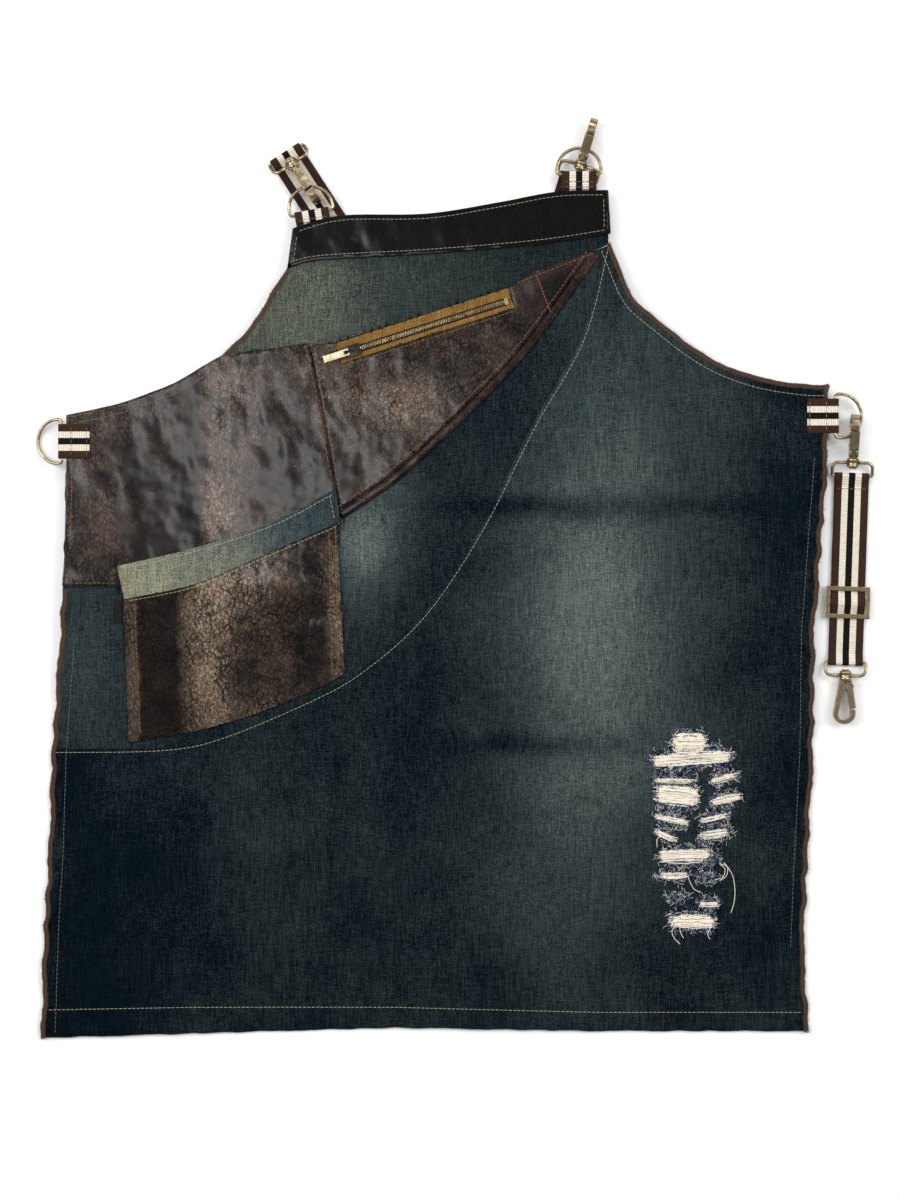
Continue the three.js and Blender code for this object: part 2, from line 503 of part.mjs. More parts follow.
const neckLeft = new THREE.Group();
neckLeft.position.set(neckLeftHub.x, neckLeftHub.y, 0);
neckLeft.rotation.z = THREE.MathUtils.degToRad(NECK_LEFT_HEADING);
apron.add(neckLeft);
adjuster('neck_adjuster', NECK_ADJUSTER, neckLeft);

// The two legs of the neck strap meet under the bib, where the webbing is folded flat.
const away = (heading) => new THREE.Vector2(0, 1)
  .rotateAround(new THREE.Vector2(), THREE.MathUtils.degToRad(heading));
const leftDirection = away(NECK_LEFT_HEADING);
const rightDirection = away(NECK_RIGHT_HEADING).negate();
const between = new THREE.Vector2(neckRightHub.x - neckLeftHub.x, neckRightHub.y - neckLeftHub.y);
const leftLeg = between.cross(rightDirection) / leftDirection.cross(rightDirection);
const rightLeg = between.cross(leftDirection) / leftDirection.cross(rightDirection);
const neckBar = -plan(NECK_LEFT_HEIGHT - loopMiddle);
const leftPath = [flat(NECK_ADJUSTER + 1, layer(0)), ...aroundEnd(neckBar).reverse(),
  flat(neckBar + 8, layer(1)), ...throughAdjuster(NECK_ADJUSTER).map((p) => flat(2 * NECK_ADJUSTER - p.x, p.y)),
  flat(NECK_ADJUSTER + 40, layer(0)), flat(leftLeg + WEB_WIDTH / 2, layer(0))];
const rightPath = [flat(-plan(lowDrop) - SEWN_END, layer(0)), ...aroundTop(-plan(lowDrop)),
  flat(-plan(lowDrop) - 8, layer(1)), flat(-plan(lowDrop) - SEWN_END - 3, layer(1)),
  flat(-rightLeg + 30, layer(1)), flat(-rightLeg - WEB_WIDTH / 4, layer(0) + 0.4)];
const leg = (points, group) => {
  group.updateWorldMatrix(true, false);
  return crosswise(ribbon(points, WEB), WEB_WIDTH).transform(group.matrixWorld.elements);
};
const neckRight = new THREE.Group();
neckRight.position.set(neckRightHub.x, neckRightHub.y, 0);
neckRight.rotation.z = THREE.MathUtils.degToRad(NECK_RIGHT_HEADING);
add('neck_strap', leg(leftPath, neckLeft).add(leg(rightPath, neckRight)), webbing);

// ---- Frame: the origin is the middle of the underside of the whole thing ----------------------------

const extent = new THREE.Box3().setFromObject(apron);
const middle = extent.getCenter(new THREE.Vector3());
apron.position.set(-middle.x, -middle.y, 0);

const part = new THREE.Group();
part.add(apron);

export default part;
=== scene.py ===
# %% [markdown]
# # A denim and leather work apron
# The apron lies flat, face up: a denim body cut from old jeans, leather patches, a zipped pocket,
# an open patch pocket, four D-rings on webbing tabs and two straps with swivel snap hooks. The
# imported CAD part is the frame. This script dresses it: cloth, leather and webbing are modelled anew
# as thin sheets, and the metal gets round wires and cast edges.

# %% The frame and its box
import json
from math import asin, atan2, cos, degrees, pi, radians, sin, sqrt

import bpy
import numpy as np
from mathutils import Matrix, Vector, geometry, kdtree, noise


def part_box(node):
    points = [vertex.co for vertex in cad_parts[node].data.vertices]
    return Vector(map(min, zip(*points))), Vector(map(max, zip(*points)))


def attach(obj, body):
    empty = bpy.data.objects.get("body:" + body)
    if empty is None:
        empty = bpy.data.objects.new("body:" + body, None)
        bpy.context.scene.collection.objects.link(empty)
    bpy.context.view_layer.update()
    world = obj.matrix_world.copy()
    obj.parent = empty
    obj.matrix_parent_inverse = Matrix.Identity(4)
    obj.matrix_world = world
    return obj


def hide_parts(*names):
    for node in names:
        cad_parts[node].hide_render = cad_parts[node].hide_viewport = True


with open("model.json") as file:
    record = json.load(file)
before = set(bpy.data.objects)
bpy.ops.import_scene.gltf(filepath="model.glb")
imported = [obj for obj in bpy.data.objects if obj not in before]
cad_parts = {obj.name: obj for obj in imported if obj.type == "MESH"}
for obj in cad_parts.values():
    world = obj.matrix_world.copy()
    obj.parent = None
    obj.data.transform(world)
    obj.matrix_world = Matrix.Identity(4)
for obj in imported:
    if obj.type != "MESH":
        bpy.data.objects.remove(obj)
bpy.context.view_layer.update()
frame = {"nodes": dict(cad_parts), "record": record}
behaviour = frame["record"]["behaviour"]
BODY_OF = {node: body for body, nodes in behaviour["bodies"].items() for node in nodes}
ROOT = BODY_OF["skirt_panel"]
MM = 0.001

# %% [markdown]
# ## Pattern coordinates
# The apron is drawn as a maker drafts it: x in percent of the body's width from its middle, y in
# percent of its height from the hem. The skirt panel of the frame says where that pattern lies in
# the row frame, so all lengths below are millimetres on the pattern and one function moves them.

# %% Pattern
WIDTH = 684.0
HEIGHT = 736.0
LIFT = 9.0                    # how high the bib lies on the hardware under it
DENIM_TOP = 1.2               # face of the denim over the body's underside
LEATHER_TOP = 2.9             # face of the leather
CLOTH = 0.6                   # one layer of denim
HIDE = 1.3                    # one layer of leather
skirt_low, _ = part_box("skirt_panel")
ORIGIN = np.array([skirt_low.x / MM + 0.499 * WIDTH, skirt_low.y / MM, 0.0])


def at(x, y):
    return np.array([x * WIDTH / 100, y * HEIGHT / 100])


def trace(*pairs):
    return np.array([at(x, y) for x, y in pairs])


def smooth(points, steps):
    """Points along a Catmull-Rom curve through the given ones."""
    found = []
    last = len(points) - 1
    for i in range(steps + 1):
        place = i / steps * last
        k = min(int(place), last - 1)
        t = place - k
        a, b, c, d = (points[min(max(k + j, 0), last)] for j in (-1, 0, 1, 2))
        u, v = (c - a) / 2, (d - b) / 2
        found.append((2 * b - 2 * c + u + v) * t**3 + (3 * c - 3 * b - 2 * u - v) * t**2 + u * t + b)
    return np.array(found)


def along(points, step, closed=False):
    """The same line with points an even step apart, and how far along it each lies."""
    points = np.asarray(points, float)
    if closed:
        points = np.vstack([points, points[:1]])
    runs = np.r_[0, np.cumsum(np.linalg.norm(np.diff(points, axis=0), axis=1))]
    count = max(int(round(runs[-1] / step)), 1)
    at_run = np.linspace(0, runs[-1], count + 1)
    line = np.stack([np.interp(at_run, runs, axis) for axis in points.T], 1)
    return (line[:-1], at_run[:-1]) if closed else (line, at_run)


def beside(points, distance):
    """The line moved to its left by a distance, one number or one for each point."""
    points = np.asarray(points, float)
    distance = np.reshape(distance, (-1, 1))
    step = np.gradient(points, axis=0)
    step /= np.linalg.norm(step, axis=1)[:, None]
    return points + distance * np.stack([-step[:, 1], step[:, 0]], 1)


hem = trace((-49.9, 0), (-31.6, 0.5), (-4.8, 1.2), (20.6, 0.8), (47.6, 0.8))
right_side = trace((46.9, 9.9), (47.3, 19.4), (48.1, 33.6), (48.2, 47.8), (49.1, 59.6), (49.9, 69))
right_armhole = smooth(trace((50, 77), (46.6, 77.1), (40.5, 78.1), (34.4, 80.5), (28.2, 84.8),
                             (25.2, 87.4), (23.3, 91.3), (22.3, 93.7)), 28)
band_top = trace((22.1, 100), (15.5, 99.8), (7.9, 98.5), (-1, 97.2), (-11.8, 97), (-17.9, 95.5))
bib_left = smooth(trace((-18.6, 90.7), (-20.7, 87.7), (-22, 85.6), (-23.9, 83), (-25.2, 82),
                        (-26.7, 80.6)), 16)
left_armhole = smooth(trace((-26.7, 80.6), (-29, 79.4), (-32.8, 77.3), (-36.6, 75.9), (-40.5, 74.7),
                            (-46.6, 73.5)), 20)
left_side = trace((-46.6, 73.5), (-46.6, 66.7), (-46.8, 57.2), (-47.3, 47.8), (-48.5, 33.6),
                  (-48.9, 21.7), (-49.5, 12.3), (-49.9, 0))
seam = smooth(trace((22.2, 93.6), (19.1, 82.5), (12.8, 72), (6.2, 59.9), (-1, 49.9), (-8.7, 43.4),
                    (-15.4, 39.8), (-27, 35.3), (-34.7, 33.9), (-48.4, 33.7)), 60)
bib_line = trace((-26.7, 80.4), (-20.1, 81.4), (-12.3, 82.6), (9.5, 88.9), (13, 90.5), (22.1, 93.5))
yoke_seam = trace((-16, 82), (-14.8, 77.1), (-13.5, 70.7), (-11.8, 61.3))
pocket_fold = smooth(trace((21.1, 92.4), (15.1, 84.6), (10.1, 78.8), (2.8, 72), (-3.8, 66.3),
                           (-7.9, 63.5), (-11.8, 61.1)), 48)
patch_left = trace((-39.4, 51.7), (-38.8, 34.9))
patch_bottom = smooth(trace((-38.8, 34.9), (-30.4, 36.2), (-22.9, 38.2), (-15.4, 41), (-11.3, 43.1)), 24)
cuff_top = smooth(trace((-40.1, 55.7), (-30.4, 57.8), (-20.4, 60.9), (-12.5, 64.8)), 20)
cuff_bottom = smooth(trace((-11.8, 60.9), (-22.9, 56.4), (-30.4, 53.5), (-39.2, 51.8)), 20)
print("pattern", WIDTH, "x", HEIGHT, "mm, origin", ORIGIN.round(2))

# %% [markdown]
# ## How the cloth lies
# A worn cloth on a table is never quite flat. Long, shallow waves run through all its layers
# together, the raw side edges ripple, and both fade out where a ring, a hook or the zip holds the
# cloth. One height function for every layer keeps them from cutting into each other, which a
# simulation of a dozen stacked sheets 0.3 mm apart could not promise.

# %% Height of the body
RISE_FROM = 0.31 * HEIGHT
RISE_TO = 0.53 * HEIGHT
LEFT_SHOULDER = at(-15.5, 97.3)
RIGHT_SHOULDER = at(18.4, 101.85)
LEFT_HIP = at(-47.2, 70.4)
RIGHT_HIP = at(50.9, 73.4)
ZIP_START = at(-9.2, 81.4)
ZIP_END = at(8.9, 86.8)
HELD = [(LEFT_SHOULDER, 55), (RIGHT_SHOULDER, 55), (LEFT_HIP, 45), (RIGHT_HIP, 45)]


def toward(points, start, end):
    """How far points lie from the straight line between two others."""
    run = end - start
    share = np.clip(((points - start) @ run) / (run @ run), 0, 1)
    return np.linalg.norm(points - start - share[..., None] * run, axis=-1)


def lay(x, y):
    """Height of the body's underside over the table at a point of the pattern."""
    x, y = np.asarray(x, float), np.asarray(y, float)
    t = np.clip((y - RISE_FROM) / (RISE_TO - RISE_FROM), 0, 1)
    ground = LIFT * t * t * (3 - 2 * t)
    slow = np.sin(x / 61 + y / 97) + 0.8 * np.sin(x / 43 - y / 71 + 1.3) + 0.6 * np.sin(y / 52 + x / 160 + 2)
    rim = np.clip((np.abs(x) - 296) / 36, 0, 1) ** 2
    ripple = rim * (1 + np.sin(y / 7.5 + 1.7 * np.sin(y / 31) + np.sign(x)))
    points = np.stack([x, y], -1)
    free = 1 - np.exp(-(toward(points, ZIP_START, ZIP_END) / 38) ** 2)
    for place, reach in HELD:
        free = free * (1 - np.exp(-(((points - place) ** 2).sum(-1)) / reach**2))
    return ground + free * (0.42 * (slow + 2.4) + 0.9 * ripple)


print("height at the hem's middle and at the bib", round(float(lay(0, 20)), 2), round(float(lay(0, 600)), 2))

# %% [markdown]
# ## Making meshes
# Three makers cover nearly everything here. `panel` fills an outline with an even mesh, gives it a
# thickness and a rounded rim, and lays it on the height function. `strands` turns many short
# centrelines into threads at once, which is how stitching is built. `tube` bends one round wire.

# %% Mesh makers


def piece(name, verts, faces, finish, body=ROOT):
    """A mesh piece from millimetres on the pattern, smooth shaded, riding on a body."""
    verts = np.asarray(verts, float) + ORIGIN
    mesh = bpy.data.meshes.new(name)
    mesh.from_pydata((verts * MM).tolist(), [], faces)
    mesh.polygons.foreach_set("use_smooth", [True] * len(mesh.polygons))
    mesh.materials.append(finish.material)
    made = bpy.data.objects.new(name, mesh)
    bpy.context.scene.collection.objects.link(made)
    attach(made, body)
    print(f"{name}: {len(mesh.vertices)} points, {len(mesh.polygons)} faces on {body}")
    return made


ROW_STEP = 0.87               # rows of even triangles, in spacings
CLEAR = 0.55                  # least distance of a filling point from the outline, in spacings


def inside(points, outline):
    """Which points lie inside a closed outline."""
    result = np.zeros(len(points), bool)
    a, b = outline, np.roll(outline, -1, 0)
    for (ax, ay), (bx, by) in zip(a, b):
        if ay == by:
            continue
        crosses = (ay > points[:, 1]) != (by > points[:, 1])
        result ^= crosses & (points[:, 0] < (bx - ax) * (points[:, 1] - ay) / (by - ay) + ax)
    return result


def fill(outline, spacing, holes=()):
    """Triangles that fill an outline, and its holes left open."""
    rings = [outline, *holes]
    tree = kdtree.KDTree(sum(len(r) for r in rings))
    for i, (x, y) in enumerate(np.vstack(rings)):
        tree.insert((x, y, 0), i)
    tree.balance()
    low, high = outline.min(0), outline.max(0)
    grid = []
    for i, row in enumerate(np.arange(low[1], high[1], spacing * ROW_STEP)):
        x = np.arange(low[0] + spacing * 0.5 * (i % 2), high[0], spacing)
        grid.append(np.stack([x, np.full(len(x), row)], 1))
    grid = np.vstack(grid)
    grid = grid[inside(grid, outline)]
    for hole in holes:
        grid = grid[~inside(grid, hole)]
    clear = [tree.find((x, y, 0))[2] > CLEAR * spacing for x, y in grid]
    grid = grid[np.array(clear, bool)]
    points, edges = [], []
    for ring in rings:
        start = len(points)
        points += [Vector(p) for p in ring]
        edges += [(start + i, start + (i + 1) % len(ring)) for i in range(len(ring))]
    points += [Vector(p) for p in grid]
    found, _, faces, *_ = geometry.delaunay_2d_cdt(points, edges, [], 0, 1e-5)
    found = np.array([(p.x, p.y) for p in found])
    faces = np.array([f for f in faces if len(f) == 3])
    middles = found[faces].mean(1)
    keep = inside(middles, outline)
    for hole in holes:
        keep &= ~inside(middles, hole)
    faces = faces[keep]
    a, b, c = (found[faces[:, k]] for k in range(3))
    turned = (b - a)[:, 0] * (c - a)[:, 1] - (b - a)[:, 1] * (c - a)[:, 0] < 0
    faces[turned] = faces[turned][:, ::-1]
    used = np.unique(faces)
    fresh = np.full(len(found), -1)
    fresh[used] = np.arange(len(used))
    return found[used], fresh[faces]


def rim_of(faces):
    """The boundary's directed edges of a triangle mesh."""
    edges = np.vstack([faces[:, [0, 1]], faces[:, [1, 2]], faces[:, [2, 0]]])
    known = {(int(a), int(b)) for a, b in edges}
    return np.array([(a, b) for a, b in known if (b, a) not in known])


def panel_mesh(outline, top, thick, spacing, soft=0.3, holes=()):
    """Points and faces of a sheet: top is its upper face's height at (x, y)."""
    flat, faces = fill(outline, spacing, holes)
    rim = rim_of(faces)
    step = flat[rim[:, 1]] - flat[rim[:, 0]]
    step /= np.maximum(np.linalg.norm(step, axis=1), 1e-9)[:, None]
    out = np.zeros_like(flat)
    for column in (0, 1):
        np.add.at(out, rim[:, column], np.stack([step[:, 1], -step[:, 0]], 1))
    out /= np.maximum(np.linalg.norm(out, axis=1), 1e-9)[:, None]
    height = top(flat[:, 0], flat[:, 1])
    soft = min(soft, thick / 2)
    profile = [(soft, 0), (0.29 * soft, 0.29 * soft), (0, soft)]
    if thick > 2.2 * soft:
        profile.append((0, thick - soft))
    profile += [(0.29 * soft, thick - 0.29 * soft), (soft, thick)]
    edge = np.unique(rim)
    slot = np.full(len(flat), -1)
    slot[edge] = np.arange(len(edge))

    def ring(depth_in, depth_down, which):
        return np.c_[flat[which] - out[which] * depth_in, height[which] - depth_down]

    whole = np.arange(len(flat))
    layers = [ring(*profile[0], whole), *(ring(*p, edge) for p in profile[1:-1]), ring(*profile[-1], whole)]
    starts = np.cumsum([0] + [len(layer) for layer in layers])

    def index(level, vertex):
        full = level in (0, len(layers) - 1)
        return starts[level] + (vertex if full else slot[vertex])

    made = faces.tolist() + (faces[:, ::-1] + starts[-2]).tolist()
    for level in range(len(layers) - 1):
        quads = np.stack([index(level, rim[:, 1]), index(level, rim[:, 0]),
                          index(level + 1, rim[:, 0]), index(level + 1, rim[:, 1])], 1)
        made += quads.tolist()
    return np.vstack(layers), made


def panel(name, outline, top, thick, spacing, finish, soft=0.3, holes=(), body=ROOT):
    return piece(name, *panel_mesh(outline, top, thick, spacing, soft, holes), finish, body)


def strand_mesh(curves, radius, sides=6):
    """Threads: curves is (threads, points, 3), radius a number or one for each point."""
    curves = np.asarray(curves, float)
    count, points, _ = curves.shape
    radius = np.broadcast_to(np.asarray(radius, float), (count, points))
    step = np.gradient(curves, axis=1)
    step /= np.maximum(np.linalg.norm(step, axis=2), 1e-9)[..., None]
    side = np.cross(step, np.array([0.02, 0.01, 1.0]))
    side /= np.maximum(np.linalg.norm(side, axis=2), 1e-9)[..., None]
    lift = np.cross(side, step)
    turn = np.arange(sides) * 2 * pi / sides
    ring = (np.cos(turn)[None, None, :, None] * side[:, :, None]
            + np.sin(turn)[None, None, :, None] * lift[:, :, None])
    verts = (curves[:, :, None] + radius[..., None, None] * ring).reshape(-1, 3)
    first = (np.arange(count) * points * sides)[:, None, None]
    level = (np.arange(points - 1) * sides)[None, :, None]
    k = np.arange(sides)[None, None]
    n = (k + 1) % sides
    quads = np.stack([first + level + k, first + level + n, first + level + sides + n,
                      first + level + sides + k], -1).reshape(-1, 4)
    caps = np.concatenate([first[:, 0] + np.arange(sides)[::-1],
                           first[:, 0] + (points - 1) * sides + np.arange(sides)])
    return verts, quads.tolist() + caps.tolist()


def tube_mesh(points, radius, sides=16, closed=False):
    """One round wire along points, its section carried along without twist."""
    points = np.asarray(points, float)
    if closed:
        step = np.roll(points, -1, 0) - np.roll(points, 1, 0)
    else:
        step = np.gradient(points, axis=0)
    step /= np.linalg.norm(step, axis=1)[:, None]
    start = np.cross(step[0], [0, 0, 1.0])
    if np.linalg.norm(start) < 0.1:
        start = np.cross(step[0], [0, 1.0, 0])
    sides_dir = [start / np.linalg.norm(start)]
    for direction in step[1:]:
        side = sides_dir[-1] - direction * (sides_dir[-1] @ direction)
        sides_dir.append(side / np.linalg.norm(side))
    side = np.array(sides_dir)
    lift = np.cross(side, step)
    radius = np.broadcast_to(np.asarray(radius, float), len(points))
    turn = np.arange(sides) * 2 * pi / sides
    verts = points[:, None] + radius[:, None, None] * (
        np.cos(turn)[None, :, None] * side[:, None] + np.sin(turn)[None, :, None] * lift[:, None])
    rings = len(points)
    faces = []
    for i in range(rings if closed else rings - 1):
        j = (i + 1) % rings
        faces += [[i * sides + k, i * sides + (k + 1) % sides, j * sides + (k + 1) % sides, j * sides + k]
                  for k in range(sides)]
    if not closed:
        faces += [list(range(sides))[::-1], [(rings - 1) * sides + k for k in range(sides)]]
    return verts.reshape(-1, 3), faces


def joined(*meshes):
    """Several (points, faces) as one."""
    verts, faces, start = [], [], 0
    for points, corners in meshes:
        verts.append(np.asarray(points, float))
        faces += [[start + int(c) for c in corner] for corner in corners]
        start += len(points)
    return np.vstack(verts), faces


def corner_gap(made, node):
    """How far the lowest corner of a piece lies from that of its CAD node, in millimetres."""
    low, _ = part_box(node)
    points = np.array([v.co for v in made.data.vertices])
    return round(max(abs(a - b) for a, b in zip(low, points.min(0))) / MM, 2)


# %% [markdown]
# ## Shader formulas
# A finish is a Principled shader whose colour, roughness and bump come from formulas on the surface's
# own coordinates, in millimetres. The class below lets a socket stand in an ordinary expression, so
# that a mask reads like the arithmetic that it is.

# %% Shader helper
X, Y, Z = 0, 1, 2


def linear(c):
    """A screen value from 0 to 1 as linear light."""
    return c / 12.92 if c <= 0.04045 else ((c + 0.055) / 1.055) ** 2.4


def colour(red, green, blue, gain=1.0):
    """A colour from eight-bit screen values, made lighter or darker by a gain."""
    return tuple(linear(c / 255) * gain for c in (red, green, blue))


class Value:
    """A shader socket that can stand in a formula."""

    def __init__(self, finish, socket):
        self.finish = finish
        self.socket = socket

    def math(self, operation, *terms):
        return self.finish.node("ShaderNodeMath", {"operation": operation}, dict(enumerate(terms)))

    def __add__(self, other):
        return self.math("ADD", self, other)

    def __radd__(self, other):
        return self.math("ADD", other, self)

    def __sub__(self, other):
        return self.math("SUBTRACT", self, other)

    def __rsub__(self, other):
        return self.math("SUBTRACT", other, self)

    def __mul__(self, other):
        return self.math("MULTIPLY", self, other)

    def clamp(self):
        return self.math("MINIMUM", self.math("MAXIMUM", self, 0.0), 1.0)

    def step(self, low, high):
        """0 below low, 1 above high, smooth between."""
        return self.finish.node("ShaderNodeMapRange", {"interpolation_type": "SMOOTHSTEP"},
                                {0: self, 1: low, 2: high})


class Finish:
    """A material under construction."""

    def __init__(self, name, **constants):
        self.material = bpy.data.materials.new(name)
        self.material.use_nodes = True
        self.tree = self.material.node_tree
        self.shader = self.tree.nodes["Principled BSDF"]
        for socket, value in constants.items():
            self.plug(self.shader.inputs[socket.replace("_", " ")], value)

    def plug(self, socket, value):
        if isinstance(value, Value):
            self.tree.links.new(value.socket, socket)
        elif socket.type == "RGBA":
            socket.default_value = (*value, 1)
        else:
            socket.default_value = value

    def node(self, kind, settings=None, inputs=None, output=0):
        made = self.tree.nodes.new(kind)
        for key, value in (settings or {}).items():
            setattr(made, key, value)
        for key, value in (inputs or {}).items():
            self.plug(made.inputs[key], value)
        return Value(self, made.outputs[output])

    def paint(self, **values):
        for socket, value in values.items():
            self.plug(self.shader.inputs[socket.replace("_", " ")], value)

    def coords(self):
        """The surface's own place in millimetres on the row frame."""
        place = self.node("ShaderNodeTexCoord", output="Object")
        return self.node("ShaderNodeVectorMath", {"operation": "SCALE"}, {0: place, "Scale": 1 / MM})

    def wave(self, operation, value):
        """A function of one number, such as SINE or EXPONENT."""
        return self.node("ShaderNodeMath", {"operation": operation}, {0: value})

    def shifted(self, place, push):
        return self.node("ShaderNodeVectorMath", {"operation": "ADD"}, {0: place, 1: push})

    def stretch(self, place, scale):
        return self.node("ShaderNodeVectorMath", {"operation": "MULTIPLY"}, {0: place, 1: scale})

    def part(self, place, axis):
        return self.node("ShaderNodeSeparateXYZ", None, {0: place}, axis)

    def on_pattern(self, place):
        """Millimetres across and up the pattern."""
        return self.part(place, X) - float(ORIGIN[X]), self.part(place, Y) - float(ORIGIN[Y])

    def noise(self, place, size, detail=2.0, rough=0.5):
        return self.node("ShaderNodeTexNoise", None, {"Vector": place, "Scale": 1 / size, "Detail": detail,
                                                      "Roughness": rough})

    def cells(self, place, size):
        """How far a place lies from the borders of a crackle."""
        return self.node("ShaderNodeTexVoronoi", {"feature": "DISTANCE_TO_EDGE"},
                         {"Vector": place, "Scale": 1 / size})

    def warp(self, place, size, amount):
        """The place pushed about by a noise, so that lines on it run crooked."""
        push = self.node("ShaderNodeTexNoise", None, {"Vector": place, "Scale": 1 / size, "Detail": 2.0},
                         "Color")
        centred = self.node("ShaderNodeVectorMath", {"operation": "SUBTRACT"}, {0: push, 1: (0.5, 0.5, 0.5)})
        scaled = self.node("ShaderNodeVectorMath", {"operation": "SCALE"}, {0: centred, "Scale": amount})
        return self.shifted(place, scaled)

    def mix(self, share, first, second):
        return self.node("ShaderNodeMix", {"data_type": "RGBA"}, {0: share, 6: first, 7: second}, 2)

    def tint(self, base, gain):
        """A colour made lighter or darker by a number."""
        grey = self.node("ShaderNodeCombineXYZ", None, {0: gain, 1: gain, 2: gain})
        return self.node("ShaderNodeVectorMath", {"operation": "MULTIPLY"}, {0: base, 1: grey})

    def emboss(self, height, depth, normal=None):
        """A bump of a depth in millimetres, on top of another one if given."""
        links = {"Height": height, "Distance": depth * MM, "Strength": 1.0}
        if normal:
            links["Normal"] = normal
        return self.node("ShaderNodeBump", None, links)


# %% [markdown]
# ## Denim
# Old jeans are indigo only on the face of the warp, so wear shows as grey-green clouds with soft
# edges, in three tones from dark to pale, and uneven yarn shows as slubs. The clouds are placed
# for each panel, because each came from a different part of the jeans. The twill's diagonal
# and the slubs go into the bump too. Cotton hardly shines, so the specular level stays very low.

# %% Denim finish
BRIGHT = 0.86                 # how much light a white cloth on this table returns


def clouds(finish, x, y, zones):
    """A mask of soft blobs: middle and reach in pattern percent, and strength."""
    total = None
    for across, up, wide, high, amount in zones:
        u = (x - across * WIDTH / 100) * (100 / (wide * WIDTH))
        v = (y - up * HEIGHT / 100) * (100 / (high * HEIGHT))
        blob = finish.wave("EXPONENT", (u * u + v * v) * -1.0) * amount
        total = blob if total is None else total + blob
    return total


def denim_finish(name, dark, middle, pale, zones, base=0.0, slub=1.0):
    made = Finish(name, Specular_IOR_Level=0.01)
    place = made.coords()
    bent = made.warp(place, 60, 16)
    cloud = clouds(made, *made.on_pattern(bent), zones) + base + (made.noise(place, 70, 3) - 0.5) * 0.34
    long_slub = made.noise(made.stretch(place, (1.0, 0.085, 1.0)), 1.2, 3, 0.6) - 0.5
    wide_slub = made.noise(made.stretch(place, (1.0, 0.020, 1.0)), 6.5, 2) - 0.5
    cross = made.noise(made.stretch(place, (0.11, 1.0, 1.0)), 1.1, 2, 0.6) - 0.5
    speck = made.noise(place, 0.95, 3, 0.7) - 0.5
    grain = (long_slub * 0.95 + wide_slub * 0.14 + cross * 0.55 + speck * 1.8) * slub
    worn = (cloud + grain * 0.34).clamp()
    body = made.mix((worn * 2 - 1).clamp(), made.mix((worn * 2).clamp(), dark, middle), pale)
    diagonal = made.wave("SINE", (made.part(place, X) + made.part(place, Y) * 1.3) * 4.4)
    uneven = grain * 1.7 + diagonal * 0.10 + 1.0
    gain = uneven.math("MAXIMUM", uneven, 0.2)
    made.paint(Base_Color=made.tint(body, gain), Roughness=0.95 - cloud.clamp() * 0.1)
    relief = made.emboss(diagonal * 0.25 + long_slub * 1.4 + speck * 0.7 + cross * 0.6, 0.28)
    made.paint(Normal=relief)
    return made


INDIGO = colour(9, 20, 27, BRIGHT)
WASHED = colour(60, 70, 71, BRIGHT)
FADED = colour(101, 110, 103, BRIGHT)
skirt_denim = denim_finish("skirt denim", INDIGO, WASHED, FADED, [
    (21.5, 62, 11.5, 20, 0.50), (20, 46, 10, 13, 0.42), (24, 33, 12, 10, 0.26), (17, 20, 9, 14, 0.30),
    (33, 76, 9, 9, 0.14), (17.5, 62.6, 21, 1.5, -0.34), (15, 34.6, 11, 1.5, -0.30), (16, 64.6, 3, 1.2, 0.16),
    (27, 89, 3, 7, 0.18), (-20, 24, 9, 14, 0.05), (45, 52, 4.5, 40, -0.06), (-42, 12, 12, 26, -0.12)], 0.08)
crescent_denim = denim_finish("crescent denim", INDIGO, WASHED, FADED, [
    (-9, 58.2, 4.6, 6.2, 0.72), (-4, 63.5, 5, 3, 0.20), (-44, 44, 5, 14, 0.20), (6, 62.6, 12, 1.4, -0.12),
    (-14, 47, 6, 6, 0.12), (20, 86, 4, 5, 0.06)], 0.10)
bib_denim = denim_finish("bib denim", INDIGO, colour(54, 62, 60, BRIGHT), colour(112, 115, 99, BRIGHT), [
    (-19, 84, 13, 20, 0.62), (0, 90, 11, 12, 0.22), (-2, 96, 30, 3.4, -0.14), (12, 92, 8, 8, 0.06)], 0.10)
cuff_tones = colour(28, 42, 54, BRIGHT), colour(74, 84, 84, BRIGHT), colour(138, 138, 117, BRIGHT)
cuff_denim = denim_finish("cuff denim", *cuff_tones, [(-40, 54, 15, 12, 0.85), (-24, 57, 7, 8, 0.26)], 0.12)
